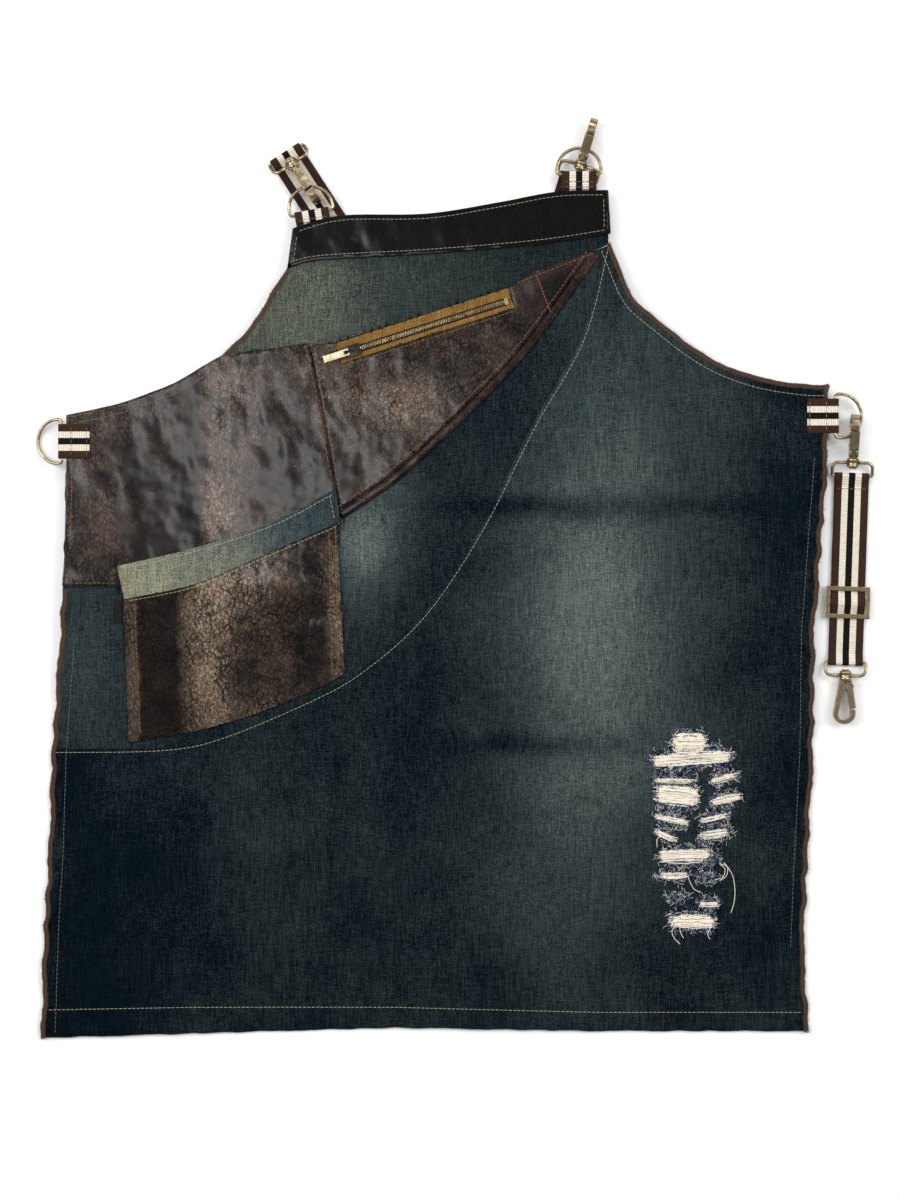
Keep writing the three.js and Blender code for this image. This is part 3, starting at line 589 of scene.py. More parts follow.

# %% [markdown]
# ## Leather
# The leather is heavily creased, and its colour carries painted light: painted shade makes it nearly
# black in its hollows and creases, and a painted grey-brown sheen lies where light would glint on it.
# Long branching creases come from large warped Voronoi cells, a crackle from small ones and the pebble
# between them from tiny ones. The painted sheen and the painted shade are set in soft blobs, as the pale
# clouds of the denim are, and broken up by streaks that follow the creases.

# %% Leather finish


def leather_finish(name, dark, warm, zones, base=0.1, roughness=0.36, gloss=0.12, depth=1.0):
    made = Finish(name, Specular_IOR_Level=gloss, Coat_Weight=0.32, Coat_Roughness=0.17)
    place = made.coords()
    bent = made.warp(made.warp(place, 22, 14), 5, 2.5)
    near = made.warp(place, 3.2, 2.2)
    crease = 1 - made.cells(made.stretch(bent, (1.0, 0.6, 1.0)), 17).step(0.0, 0.045)
    crackle = 1 - made.cells(made.stretch(near, (1.0, 0.7, 1.0)), 4.4).step(0.0, 0.12)
    pebble = made.cells(near, 1.35).step(0.0, 0.45)
    creased = made.noise(place, 32, 3, 0.6).step(0.40, 0.60)
    rib = made.noise(made.stretch(near, (1.0, 0.28, 1.0)), 2.0, 2).step(0.53, 0.62)
    lines = (crease * (creased * 0.7 + 0.25) + crackle * (creased * 0.7 + 0.15)
             + rib * (creased * 0.4 + 0.15)).clamp()
    streak = made.noise(made.stretch(near, (1.0, 0.45, 1.0)), 3.0, 3, 0.7) - 0.5
    patch = made.noise(place, 20, 4, 0.65) - 0.5
    # Painted light: a blob that adds paints a sheen, one that takes away paints shade in a valley, and the
    # patch noise varies both.
    painted_light_and_smoothing = clouds(made, *made.on_pattern(made.warp(place, 30, 9)), zones) + patch * 0.42 + base
    glint = made.noise(made.stretch(near, (1.0, 0.55, 1.0)), 1.5, 3, 0.75).step(0.44, 0.62)
    # Painted sheen, strongest on the glints and the pebble tops.
    painted_sheen = (painted_light_and_smoothing * (streak * 2.0 + 0.8) * (glint * 1.5 + 0.35) * (pebble * 0.7 + 0.55)).clamp()
    body = made.mix(patch.step(-0.2, 0.2), dark, warm)
    # Painted shade darkens the colour where the blobs are low, and a pale grey-brown painted sheen is mixed
    # in where they are high.
    body = made.mix(painted_sheen, made.tint(body, painted_light_and_smoothing.clamp() * 1.8 + 0.28), colour(176, 158, 136, BRIGHT))
    # The crease lines darken the colour: painted shade in the creases.
    made.paint(Base_Color=made.tint(body, 1 - lines * 0.8),
               Roughness=(lines * 0.2 + streak * 0.3 + roughness).clamp())
    pores = made.emboss(pebble * 0.8 - crackle, 0.16 * depth)
    made.paint(Normal=made.emboss(streak * 0.35 - crease * creased - crackle * creased * 0.6 - rib * 0.3,
                                  0.6 * depth, pores))
    return made


# Blobs of painted light for each leather, in pattern percent: a positive amount paints sheen, a negative one
# paints shade.
leather = leather_finish("creased leather", colour(20, 9, 7, BRIGHT), colour(58, 30, 22, BRIGHT), [
    (-26.8, 76, 3.4, 5, 0.22), (-27.2, 61.8, 2.4, 4.5, 0.42), (-27, 68, 3, 8, 0.12),
    (-30.7, 67, 1.3, 12, -0.28), (-38, 68.5, 2.6, 3, -0.14), (-35, 60, 4, 5, -0.2),
    (-42, 61, 2.5, 3, 0.12), (-40, 73, 5, 3, 0.08),
    (-20, 66, 3, 6, -0.1), (-18, 79, 3, 2.5, 0.1), (-4.8, 75, 6, 2.8, 0.46), (-12, 80.5, 3, 2, 0.3),
    (-12, 65, 3, 4, -0.12), (16, 88, 5, 5, -0.1)], 0.10)
pocket_hide = leather_finish("pocket leather", colour(16, 7, 4, BRIGHT), colour(62, 36, 22, BRIGHT), [
    (-35, 47, 2.3, 22, -0.6), (-28.6, 50, 2.9, 6, 0.70), (-29, 41, 2.7, 5, 0.50), (-25, 54, 4.5, 4, 0.5),
    (-38, 45, 0.8, 14, 0.3), (-15, 48, 2, 6, -0.1), (-12.2, 50, 1.0, 12, 0.4), (-22, 38, 6, 3, 0.16)], 0.10)
folded_hide = leather_finish("folded leather edge", colour(34, 12, 9, BRIGHT), colour(70, 30, 22, BRIGHT),
                             [(0, 80, 40, 40, 0.02)], 0.02, 0.42, 0.1, 0.5)
band_hide = leather_finish("band leather", colour(7, 3, 3, BRIGHT), colour(20, 8, 7, BRIGHT),
                           [(-9, 94.5, 6, 1.6, 0.16), (10, 97, 8, 2, 0.05)], -0.14, 0.36, 0.06, 0.5)


# %% [markdown]
# ## Threads, tape and metal
# Thread is a twisted yarn: a fine diagonal in the bump, with painted shade along it in the colour, is
# enough at its size. Webbing takes its stripes from an attribute that its mesh carries, the place across
# and along the strap, and from it also painted shade in the grooves of its ribs. The hardware is antique
# brass: a patina in the low places and polished yellow where it is handled.

# %% Thread, webbing and metal finishes


def thread_finish(name, base, spread=0.35, roughness=0.8):
    made = Finish(name, Specular_IOR_Level=0.2)
    place = made.coords()
    twist = made.wave("SINE", (made.part(place, X) * 0.8 + made.part(place, Y) + made.part(place, Z)) * 9.0)
    # The twist darkens the colour in its grooves: painted shade that follows the bump.
    gain = (made.noise(place, 2.0, 3) - 0.5) * 2 * spread + twist * 0.12 + 1.0
    made.paint(Base_Color=made.tint(base, gain), Roughness=roughness + twist * 0.05,
               Normal=made.emboss(twist, 0.05))
    return made


pale_thread = thread_finish("pale topstitch thread", colour(176, 166, 138))
faded_thread = thread_finish("faded topstitch thread", colour(112, 112, 98))
gold_thread = thread_finish("gold topstitch thread", colour(136, 104, 70))
orange_thread = thread_finish("orange bar tack thread", colour(168, 108, 60))
overlock_thread = thread_finish("brown overlock thread", colour(86, 64, 51), 0.6)
fuzz = thread_finish("frayed brown fibre", colour(120, 88, 66), 0.5)
cream_yarn = thread_finish("cream weft yarn", colour(247, 238, 220), 0.10)
blue_yarn = thread_finish("pale blue warp yarn", colour(118, 136, 164), 0.5)
indigo_yarn = thread_finish("indigo warp yarn", colour(20, 32, 54), 0.5)


RIB = 1.55                    # one woven rib of the webbing
YARN = 0.8                    # one warp yarn of it


def webbing_finish(name):
    made = Finish(name, Specular_IOR_Level=0.15)
    weave = made.node("ShaderNodeAttribute", {"attribute_name": "weave"}, output="Vector")
    across = made.part(weave, X)
    run = made.part(weave, Y)
    edge = (made.noise(weave, 0.9, 2) - 0.5) * 0.5
    away = across.math("ABSOLUTE", across) + edge
    dark = 1 - away.step(2.7, 3.0)
    cream = (1 - away.step(8.2, 8.5)) * (1 - dark)
    rib = made.wave("SINE", run * (2 * pi / RIB))
    yarn = made.wave("SINE", across * (2 * pi / YARN))
    body = made.mix(dark, colour(58, 39, 29, BRIGHT), colour(16, 13, 12, BRIGHT))
    body = made.mix(cream, body, colour(238, 229, 212, BRIGHT))
    # The rib and yarn terms darken the colour in the grooves of the weave: painted shade that follows the
    # bump.
    gain = rib * 0.24 + yarn * 0.08 + (made.noise(weave, 1.6, 3) - 0.5) * 0.45 + 0.96
    made.paint(Base_Color=made.tint(body, gain), Roughness=0.82 + rib * 0.04,
               Normal=made.emboss(rib * 0.6 + yarn * 0.5, 0.14))
    return made


def metal_finish(name, bright, patina, worn=0.5, roughness=0.27, grain=0.06):
    made = Finish(name, Metallic=1.0)
    place = made.coords()
    stain = made.noise(place, 5.5, 4, 0.6).step(worn - 0.12, worn + 0.2)
    fleck = made.noise(place, 0.7, 3, 0.7)
    share = (stain * 0.75 + (fleck - 0.5) * 0.6).clamp()
    made.paint(Base_Color=made.mix(share, bright, patina), Roughness=share * 0.22 + fleck * 0.10 + roughness)
    scratch = made.noise(made.stretch(place, (1.0, 0.25, 1.0)), 0.6, 2)
    made.paint(Normal=made.emboss(scratch + fleck * 0.5, grain))
    return made


webbing = webbing_finish("striped webbing")
brass = metal_finish("antique brass", (0.42, 0.34, 0.21), (0.085, 0.062, 0.04), 0.5, 0.22)
zip_brass = metal_finish("zip teeth brass", (0.46, 0.37, 0.23), (0.10, 0.075, 0.045), 0.5, 0.3, 0.03)
slider_metal = metal_finish("dark slider metal", (0.045, 0.04, 0.036), (0.012, 0.011, 0.01), 0.5, 0.28,
                            0.03)
pull_metal = metal_finish("pale pull brass", (0.60, 0.51, 0.35), (0.34, 0.27, 0.17), 0.62, 0.34, 0.03)
tape_tones = colour(100, 70, 32, BRIGHT), colour(128, 96, 48, BRIGHT), colour(160, 124, 68, BRIGHT)
tape_cotton = denim_finish("tan zip tape", *tape_tones, [(0, 85, 20, 20, 0.4)], 0.2, 0.8)
label_cotton = thread_finish("black label cotton", colour(24, 21, 18), 0.3)

# %% [markdown]
# ## Stage, lights and camera
# The apron is seen from straight above on a white table. Four softboxes light it evenly, strong ones
# from left and right and weaker ones from the far and the near side. A narrow strip high over the
# left half puts a long vertical sheen on the leather there. The sky is a weak, even white, so that
# dark leather can stay dark.

# %% Stage
VIEW_WIDTH = 0.783            # of the table, across the frame
VIEW_ASPECT = 1200 / 900
EYE = 3.0
SENSOR = 36.0
CENTRE = (-0.0044, -0.0196)   # where the camera looks
TABLE_HALF = 4.0
TABLE_DOWN = 0.0004           # how far the table lies under the part
SKY = 0.14

floor_finish = Finish("pale table", Roughness=0.9, Specular_IOR_Level=0.05)
floor_place = floor_finish.coords()
stain = floor_finish.noise(floor_place, 300, 2)
floor_finish.paint(Base_Color=floor_finish.mix(stain, (0.94,) * 3, (0.97,) * 3))
floor_mesh = bpy.data.meshes.new("table")
corners = [(u * TABLE_HALF, v * TABLE_HALF, -TABLE_DOWN) for u, v in ((-1, -1), (1, -1), (1, 1), (-1, 1))]
floor_mesh.from_pydata(corners, [], [(0, 1, 2, 3)])
floor_mesh.materials.append(floor_finish.material)
floor = bpy.data.objects.new("table", floor_mesh)
bpy.context.scene.collection.objects.link(floor)

world = bpy.data.worlds.new("studio")
bpy.context.scene.world = world
world.use_nodes = True
sky = world.node_tree.nodes["Background"].inputs
sky["Color"].default_value = (1, 1, 1, 1)
sky["Strength"].default_value = SKY
bpy.context.scene.view_settings.view_transform = "Standard"


def softbox(name, place, aim, size, power):
    light = bpy.data.lights.new(name, "AREA")
    light.shape = "RECTANGLE"
    light.size, light.size_y = size
    light.energy = power
    lamp = bpy.data.objects.new(name, light)
    lamp.location = place
    lamp.rotation_euler = (Vector(aim) - Vector(place)).to_track_quat("-Z", "Y").to_euler()
    bpy.context.scene.collection.objects.link(lamp)


softbox("left softbox", (-1.7, 0.5, 1.7), (0, 0, 0), (1.4, 1.4), 40)
softbox("right softbox", (1.7, 0.6, 1.7), (0, 0, 0), (1.4, 1.4), 36)
softbox("far softbox", (0.1, 2.0, 1.6), (0, 0, 0), (1.8, 0.9), 18)
softbox("near softbox", (0.3, -2.1, 1.6), (0, -0.2, 0), (1.8, 0.9), 7)
softbox("sheen strip", (-0.34, 0.25, 2.0), (-0.2, 0.1, 0), (0.14, 0.9), 6)

camera = bpy.data.cameras.new("camera")
camera.sensor_width = SENSOR
camera.lens = SENSOR * EYE / (VIEW_WIDTH * VIEW_ASPECT)
eye = bpy.data.objects.new("camera", camera)
eye.location = (*CENTRE, EYE)
bpy.context.scene.collection.objects.link(eye)
bpy.context.scene.camera = eye
print("lens", round(camera.lens, 1), "mm")

# %% [markdown]
# ## Denim panels
# Three panels make the body. The skirt's upper edge is folded under and topstitched down over the
# crescent, so the crescent dips a cloth's thickness as it runs beneath that fold. The raw side edges
# wander a little, as an overlocked edge does after washing. The skirt has the openings of the
# distressed patch cut into it, narrow slots whose cross threads are put back later.

# %% Side edges that wander


def wander(points, amount):
    """A line moved sideways by a slow wobble with a finer one on it."""
    line, run = along(points, 2.2)
    wave = np.sin(run / 6.1 + 1.9 * np.sin(run / 23)) + 0.35 * np.sin(run / 2.3 + np.sin(run / 7))
    fade = np.clip(np.minimum(run, run[-1] - run) / 12, 0, 1)
    return beside(line, amount * wave * fade)


right_edge = wander(np.vstack([hem[-1:], right_side, right_armhole[:1]]), 1.0)
left_edge = wander(left_side, 0.9)
right_curve = wander(right_armhole, 0.35)
left_curve = wander(left_armhole, 0.25)
hem_edge = wander(hem, 0.35)
skirt_fold = beside(seam, -3.2)
DIP = 0.7

# %% Openings of the distressed patch
# Each is a slot: left and right end, top and bottom, and how much it climbs to the right, all in
# millimetres from the middle of the patch. A slot is full in its middle and tapers to ragged ends.
PATCH_AT = np.array([231.0, 176.5])
SLOTS = [(-23, 5, 88, 71, 0.0), (-41, 29, 71, 61, 0.07), (-38, -5, 48.5, 45.5, -0.02),
         (-38, -1.5, 42.5, 26, -0.10), (-37, -10, 15, 10.8, -0.20), (-37, -21, 1, -3, -0.42),
         (10, 32, 51, 47, 0.25), (10, 35, 33.5, 28, 0.20), (1, 24, 16.6, 13.2, 0.21),
         (1, 25, 3.8, -2.8, 0.14), (-35, 9, -13, -23.5, 0.03), (-36, -11, -33.5, -37, 0.0),
         (-1, 16, -58.5, -62, 0.0), (-25, 13, -70.5, -80.5, -0.02)]
FUZZY = [(-31, -7, -48.5, -60, 0.0), (-3, 17, -30, -44, 0.0), (8, 20, -14, -26, 0.0), (-1, 12, -5, -12, 0.0)]
dice = np.random.default_rng(7)


def slot_edges(slot, x):
    """Top and bottom of a slot at places along it."""
    left, right, high, low, climb = slot
    share = np.clip((x - left) / (right - left), 0, 1)
    swell = (1 - np.abs(2 * share - 1) ** 8) ** 0.6
    half = (high - low) / 2
    middle = (high + low) / 2 + climb * (x - (left + right) / 2)
    top = 0.22 * np.sin(x / 3.1 + high) + 0.12 * np.sin(x / 1.3 + left)
    bottom = 0.22 * np.sin(x / 2.7 + low) + 0.12 * np.sin(x / 1.1 + right)
    reach = min(half, 4)
    return middle + swell * half + top * reach * swell, middle - swell * half + bottom * reach * swell


def slot_outline(slot):
    x = np.arange(slot[0], slot[1] + 0.1, 1.6)[1:-1]
    top, bottom = slot_edges(slot, x)
    ragged = dice.uniform(0.0, 0.5, (2, len(x)))
    points = np.vstack([np.stack([x, bottom - ragged[0]], 1), np.stack([x, top + ragged[1]], 1)[::-1]])
    return points + PATCH_AT


slots = [slot_outline(slot) for slot in SLOTS]
print(len(slots), "slots, the first", slots[0].min(0).round(1), slots[0].max(0).round(1))

# %% Panels
seam_line = along(skirt_fold, 2)[0]
near_seam_tree = kdtree.KDTree(len(seam_line))
for i, (px, py) in enumerate(seam_line):
    near_seam_tree.insert((px, py, 0), i)
near_seam_tree.balance()
seam_left = beside(seam_line, 1.0) - seam_line


def over_fold(x, y):
    """How far points lie past the skirt's fold, onto the skirt's side."""
    found = []
    for px, py in zip(x, y):
        _, i, _ = near_seam_tree.find((px, py, 0))
        found.append((np.array([px, py]) - seam_line[i]) @ seam_left[i])
    return np.array(found)


def denim_top(x, y):
    return lay(x, y) + DENIM_TOP


def crescent_top(x, y):
    """The crescent dips under the skirt's folded edge."""
    dip = np.clip((over_fold(x, y) + 5.0) / 4.0, 0, 1)
    return denim_top(x, y) - DIP * dip * dip * (3 - 2 * dip)


# %% Denim meshes
SHEETS = []
NARROWEST = 10.1              # the narrowest strip that is worth cutting


def area_of(outline):
    x, y = outline.T
    return abs(float(np.sum(x * np.roll(y, -1) - y * np.roll(x, -1)))) / 2


def cut_size(outline):
    """Width and length of the smallest rectangle, at any angle, that the outline is cut from."""
    sizes = []
    for angle in np.radians(np.arange(0, 90, 3)):
        turned = outline @ np.array([[cos(angle), -sin(angle)], [sin(angle), cos(angle)]])
        sizes.append(tuple(turned.max(0) - turned.min(0)))
    width, length = min(sizes, key=lambda size: size[0] * size[1])
    return max(width, NARROWEST), max(length, NARROWEST)


def cloth(name, outline, top, thick, spacing, finish, node, soft=0.3, holes=(), rests=()):
    """A cut sheet that replaces a CAD node, listed with its flat size and area."""
    made = panel(name, outline, top, thick, spacing, finish, soft, holes, BODY_OF[node])
    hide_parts(node)
    size = tuple(length * MM for length in cut_size(outline))
    area = (area_of(outline) - sum(area_of(hole) for hole in holes)) * MM * MM
    SHEETS.append((made, size, area, list(rests)))
    return made


def tidy_ring(*lines, step=2.2):
    """One closed outline from several lines, without doubled points."""
    points = np.vstack(lines)
    keep = np.linalg.norm(points - np.roll(points, 1, 0), axis=1) > 0.05
    return along(points[keep], step, closed=True)[0]


left_low = left_edge[left_edge[:, 1] < at(0, 33.6)[1]]
left_high = left_edge[left_edge[:, 1] >= at(0, 33.9)[1]]
tuck = beside(seam, 6.0 * np.clip(np.arange(len(seam)) / 8, 0, 1))
JOINT_DOWN = 4.0              # the bib's lower seam is hidden this far under the leather
joint_line = bib_line - np.array([0, JOINT_DOWN]) * np.array([0, 1, 1, 1, 1, 0])[:, None]
cloth("skirt_cloth", tidy_ring(hem_edge, right_edge, right_curve, skirt_fold[1:], left_low),
      denim_top, CLOTH, 4.5, skirt_denim, "skirt_panel", holes=slots)
cloth("crescent_cloth", tidy_ring(tuck[::-1], joint_line[::-1], left_curve, left_high),
      crescent_top, CLOTH, 4.5, crescent_denim, "crescent_panel")
bib_top_edge = band_top - np.array([0, 2.0])
bib_edge = wander(bib_left, 0.4)
cloth("bib_cloth", tidy_ring(bib_edge, joint_line + np.array([0, 0.4]), bib_top_edge),
      denim_top, CLOTH, 4.5, bib_denim, "bib_panel")

# %% [markdown]
# ## Leather patches
# Leather creases in the mesh as well as in the bump: soft puckers a finger wide break up the gloss
# as real hide does. The patch pocket is sewn down at both sides and along the seam, so it swells
# from those edges toward its open mouth, where the cuff stands off the yoke.

# %% Leather meshes


def pucker(x, y, reach=17.0, seed=0.0):
    return np.array([noise.noise((px / reach, py / (1.6 * reach), seed)) for px, py in zip(x, y)])


def leather_top(x, y):
    return lay(x, y) + LEATHER_TOP - 0.15 + 0.45 * pucker(x, y) + 0.18 * pucker(x, y, 6.0, 5.0)


yoke_left = left_side[left_side[:, 1] > at(0, 53.3)[1]]
yoke_outline = tidy_ring(yoke_seam[::-1], trace((-16, 82), (-20.1, 81.4), (-26.7, 80.6)), left_armhole[1:],
                         yoke_left, trace((-47.1, 53.3), (-39.8, 53.3), (-12.1, 56)))
cloth("yoke_leather", yoke_outline, leather_top, HIDE, 3.0, leather, "leather_yoke", 0.5)
band_low = smooth(trace((-18.6, 90.7), (-14.4, 91.7), (-1, 92.4), (13, 93.5), (22.4, 94.8)), 30)
band_high = smooth(band_top, 30)
cloth("band_leather", tidy_ring(band_low, band_high), leather_top, HIDE, 3.0, band_hide, "bib_band",
      0.6)

zip_run = ZIP_END - ZIP_START
ZIP_LENGTH = float(np.linalg.norm(zip_run))
ZIP_TURN = atan2(zip_run[1], zip_run[0])
ZIP_LEAD, ZIP_TAIL = 21.0, 7.0


def in_zip(x, y):
    c, s = cos(ZIP_TURN), sin(ZIP_TURN)
    return ZIP_START + np.array([c * x - s * y, s * x + c * y])


PIPING = 8.0
fold_inner = beside(pocket_fold, -PIPING - 0.2)
opening = np.array([in_zip(-ZIP_LEAD - 0.3, 10.8), in_zip(-ZIP_LEAD - 0.3, -7.8),
                    in_zip(ZIP_LENGTH + ZIP_TAIL + 0.3, -7.8), in_zip(ZIP_LENGTH + ZIP_TAIL + 0.3, 10.8)])
tip = trace((13, 90.5), (20.6, 92.9))
pocket_outline = tidy_ring(trace((-15.5, 81.7)), opening, tip, fold_inner[2:-1],
                           yoke_seam[::-1][:-1] + np.array([0.5, 0]))
cloth("zip_pocket_hide", pocket_outline, leather_top, HIDE, 3.0, leather, "zip_pocket_leather",
      0.5)


def strip_mesh(left, right, top, thick, crown=0.0, count=9):
    """A long narrow sheet between two lines, crowned across."""
    share = (1 - np.cos(np.linspace(0, pi, count))) / 2
    flat = left[:, None] * (1 - share[None, :, None]) + right[:, None] * share[None, :, None]
    height = top(flat[..., 0].ravel(), flat[..., 1].ravel()).reshape(flat.shape[:2])
    bulge = np.sqrt(np.clip(1 - (2 * share - 1) ** 2, 0, 1))
    upper = np.dstack([flat, height - thick / 2 + (thick / 2 + crown) * bulge])
    lower = np.dstack([flat, height - thick / 2 - thick / 2 * bulge])[:, ::-1][:, 1:-1]
    rings = np.concatenate([upper, lower], 1)
    stations, size = rings.shape[:2]
    first = (np.arange(stations - 1) * size)[:, None]
    k = np.arange(size)[None]
    n = (k + 1) % size
    quads = np.stack([first + k, first + n, first + size + n, first + size + k], -1).reshape(-1, 4)
    caps = [list(range(size))[::-1], [(stations - 1) * size + i for i in range(size)]]
    return rings.reshape(-1, 3), quads.tolist() + caps


def wavy_top(x, y):
    return lay(x, y) + LEATHER_TOP + 0.12 * pucker(x, y, 9.0, 2.0)


fold_line = along(pocket_fold, 2.0)[0][1:-1]
fold_mesh = strip_mesh(fold_line, beside(fold_line, -PIPING + 0.2), wavy_top, HIDE, 0.55)
piping = piece("piping_leather", *fold_mesh, folded_hide, BODY_OF["pocket_piping"])
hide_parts("pocket_piping")
piping_length = along(fold_line, 2.0)[1][-1]
SHEETS.append((piping, (0.0105, piping_length * MM), PIPING * piping_length * MM * MM, []))

# %% Patch pocket and its cuff
POCKET_SWELL = 5.4
patch_right = trace((-11.3, 43.1), (-12.5, 64.8))


def shares(x, y):
    """How far across and up the patch pocket points lie, 0 to 1 each."""
    left = np.interp(y, [at(0, 34.9)[1], at(0, 51.7)[1], at(0, 55.7)[1]],
                     [at(-38.8, 0)[0], at(-39.4, 0)[0], at(-40.1, 0)[0]])
    right = np.interp(y, [at(0, 43.1)[1], at(0, 64.8)[1]], [at(-11.3, 0)[0], at(-12.5, 0)[0]])
    low = np.interp(x, patch_bottom[:, 0], patch_bottom[:, 1])
    high = np.interp(x, cuff_top[:, 0], cuff_top[:, 1])
    return np.clip((x - left) / (right - left), 0, 1), np.clip((y - low) / (high - low), 0, 1)


def pocket_base(x, y):
    across, up = shares(x, y)
    on_yoke = 1.7 * np.clip((y / HEIGHT * 100 - 49.5) / 4, 0, 1)
    swell = np.sin(pi * across) ** 0.8 * np.clip(up * 1.5, 0, 1) ** 0.7
    roll = 1 - 0.42 * np.exp(-(((across - 0.20) / 0.12) ** 2)) + 0.10 * np.sin(across * 9 + 1)
    return lay(x, y) + LEATHER_TOP + on_yoke + POCKET_SWELL * swell * roll


def pocket_top(x, y):
    across, up = shares(x, y)
    edge = np.clip(np.minimum(np.minimum(across, 1 - across) * 12, up * 9), 0, 1)
    return pocket_base(x, y) + edge * (0.7 * pucker(x, y, 15.0, 3.0) + 0.3 * pucker(x, y, 5.5, 8.0))


cloth("patch_pocket_leather", tidy_ring(patch_left, patch_bottom[1:], patch_right[1:], cuff_top[::-1]),
      pocket_top, HIDE, 2.4, pocket_hide, "patch_pocket", 0.5)


CUFF_UP = 1.7                 # face of the cuff over the pocket's leather
LABEL_UP = 0.9                # face of the label over the denim


def cuff_height(x, y):
    return pocket_base(x, y) + CUFF_UP


def label_top(x, y):
    return denim_top(x, y) + LABEL_UP


cloth("cuff_cloth", tidy_ring(cuff_top[::-1], cuff_bottom[::-1]), cuff_height, 1.1, 2.6, cuff_denim,
      "pocket_cuff", 0.5)
LABEL_AT = at(-40, 50.3) - np.array([0.5, 0])
label_outline = LABEL_AT + np.array([(-3.5, -10), (3.5, -10), (3.5, 10), (-3.5, 10)])
cloth("black_label", tidy_ring(label_outline, step=0.8), label_top, 0.6, 1.0, label_cotton, "blank_label",
      0.25)

# %% [markdown]
# ## Stitching
# Each stitch is a short thread that dips into the cloth at both ends, so the seams throw their own
# small shadows. Pale thread runs on the denim and the band, a faded one along the sides, gold on the
# leather and orange where a bar tack takes the strain. The raw edges are overlocked: a thread wraps
# over the edge every millimetre or so.

# %% Stitch maker


def stitch_curves(line, top, length=3.0, gap=0.8, proud=0.24):
    line, run = along(line, 0.6)
    count = int(run[-1] // (length + gap))
    starts = (np.arange(count) + 0.5) * (run[-1] / count) - length / 2
    place = starts[:, None] + np.linspace(0, length, 6)[None]
    x, y = (np.interp(place, run, line[:, k]) for k in (0, 1))
    height = top(x.ravel(), y.ravel()).reshape(x.shape)
    return np.dstack([x, y, height + np.array([-0.4, 0.12, 1.0, 1.0, 0.12, -0.4]) * proud])


STITCH_RADIUS = np.array([0.6, 1, 1, 1, 1, 0.6])


def sewn(name, rows, finish, radius, body=ROOT):
    """Rows of (line, top, length, gap) sewn with one thread."""
    curves = np.concatenate([stitch_curves(line, top, *rest) for line, top, *rest in rows])
    made = piece(name, *strand_mesh(curves, STITCH_RADIUS * radius), finish, body)
    return made


def inset_line(line, distance, trim=3.0):
    moved, run = along(beside(along(line, 2)[0], distance), 1.5)
    return moved[(run > trim) & (run < run[-1] - trim)]


hem_stitch = trace((-49.0, 3.3), (-31, 3.6), (-4.8, 3.6), (20.6, 3.0), (46.7, 3.0))
seam_stitch = along(seam, 2)[0][1:-1]
sewn("denim_topstitching", [
    (seam_stitch, denim_top), (hem_stitch, denim_top),
    (inset_line(right_armhole, 9.0), denim_top)], pale_thread, 0.25)
sewn("side_topstitching", [
    (inset_line(left_side[3:], 12.0), denim_top), (inset_line(right_side, 11.0), denim_top),
    (inset_line(bib_left, 7.0), denim_top)], faded_thread, 0.24)
sewn("cuff_topstitching", [
    (inset_line(cuff_top[::-1], 3.2), cuff_height), (inset_line(cuff_bottom, 2.2), cuff_height),
    (inset_line(trace((-12.6, 64.4), (-11.9, 61.2)), -4.5, 1.0), cuff_height)],
    pale_thread, 0.27)
BAND_IN = 4.2
sewn("band_topstitching", [
    (inset_line(band_low, BAND_IN), leather_top), (inset_line(band_high, BAND_IN), leather_top),
    (inset_line(trace((22.2, 95), (22.1, 99.6)), BAND_IN, 4), leather_top),
    (inset_line(trace((-17.9, 95.2), (-18.5, 91)), BAND_IN, 4), leather_top)],
    pale_thread, 0.22)
sewn("leather_topstitching", [
    (inset_line(left_armhole, 8.5), leather_top), (inset_line(yoke_left, 5.0), leather_top),
    (inset_line(trace((-46.9, 53.3), (-40.2, 53.3)), 3.0, 1.0), leather_top),
    (inset_line(yoke_seam, -2.6, 1.0), leather_top),
    (inset_line(yoke_seam, 2.2, 1.0), leather_top),
    (inset_line(pocket_fold, -PIPING - 3.2, 4.0), leather_top),
    (inset_line(trace((9.9, 89.2), (20.5, 93.0)), -2.6, 2.0), leather_top),
    (np.array([in_zip(-ZIP_LEAD, -10.2), in_zip(ZIP_LENGTH + 5, -10.2)]), leather_top)],
    gold_thread, 0.26)
sewn("pocket_topstitching", [
    (trace((-37.9, 51.4), (-37.3, 35.9)), pocket_top), (trace((-13.3, 60.1), (-12.9, 43.4)), pocket_top),
    (trace((-12.5, 60.4), (-12.1, 43.9)), pocket_top)], gold_thread, 0.27)
sewn("bar_tacks", [
    (trace((13.0, 89.9), (15.1, 84.8)), leather_top, 2.2, 0.4),
    (trace((-39.3, 55.2), (-38.6, 53.0)), cuff_height, 1.6, 0.2),
    (trace((-38.9, 55.3), (-38.2, 53.2)), cuff_height, 1.6, 0.2),
    (trace((-12.2, 60.9), (-11.9, 60.5)), cuff_height, 1.6, 0.2)], orange_thread, 0.32)

# %% Overlocked edges
LOOP_IN = np.array([3.7, 3.2, 2.0, 0.7, -0.30, -0.4, 0.2, 1.9])
LOOP_UP = np.array([-0.15, 0.26, 0.34, 0.36, 0.05, -0.4, -0.85, -0.85])


def on_denim(place, up):
    """Flat curves set a height over the face of the denim."""
    height = denim_top(place[..., 0].ravel(), place[..., 1].ravel()).reshape(place.shape[:2])
    return np.dstack([place, height + up])


def overlock(line, lean):
    line, run = along(line, 1.25)
    normal = beside(line, 1.0) - line
    step = np.gradient(line, axis=0)
    drift = np.linspace(0, lean, len(LOOP_IN))
    jitter = dice.uniform(0.9, 1.1, (len(line), 1))
    place = (line[:, None] + normal[:, None] * (LOOP_IN * jitter)[..., None]
             + step[:, None] * drift[None, :, None])
    return on_denim(place, LOOP_UP)


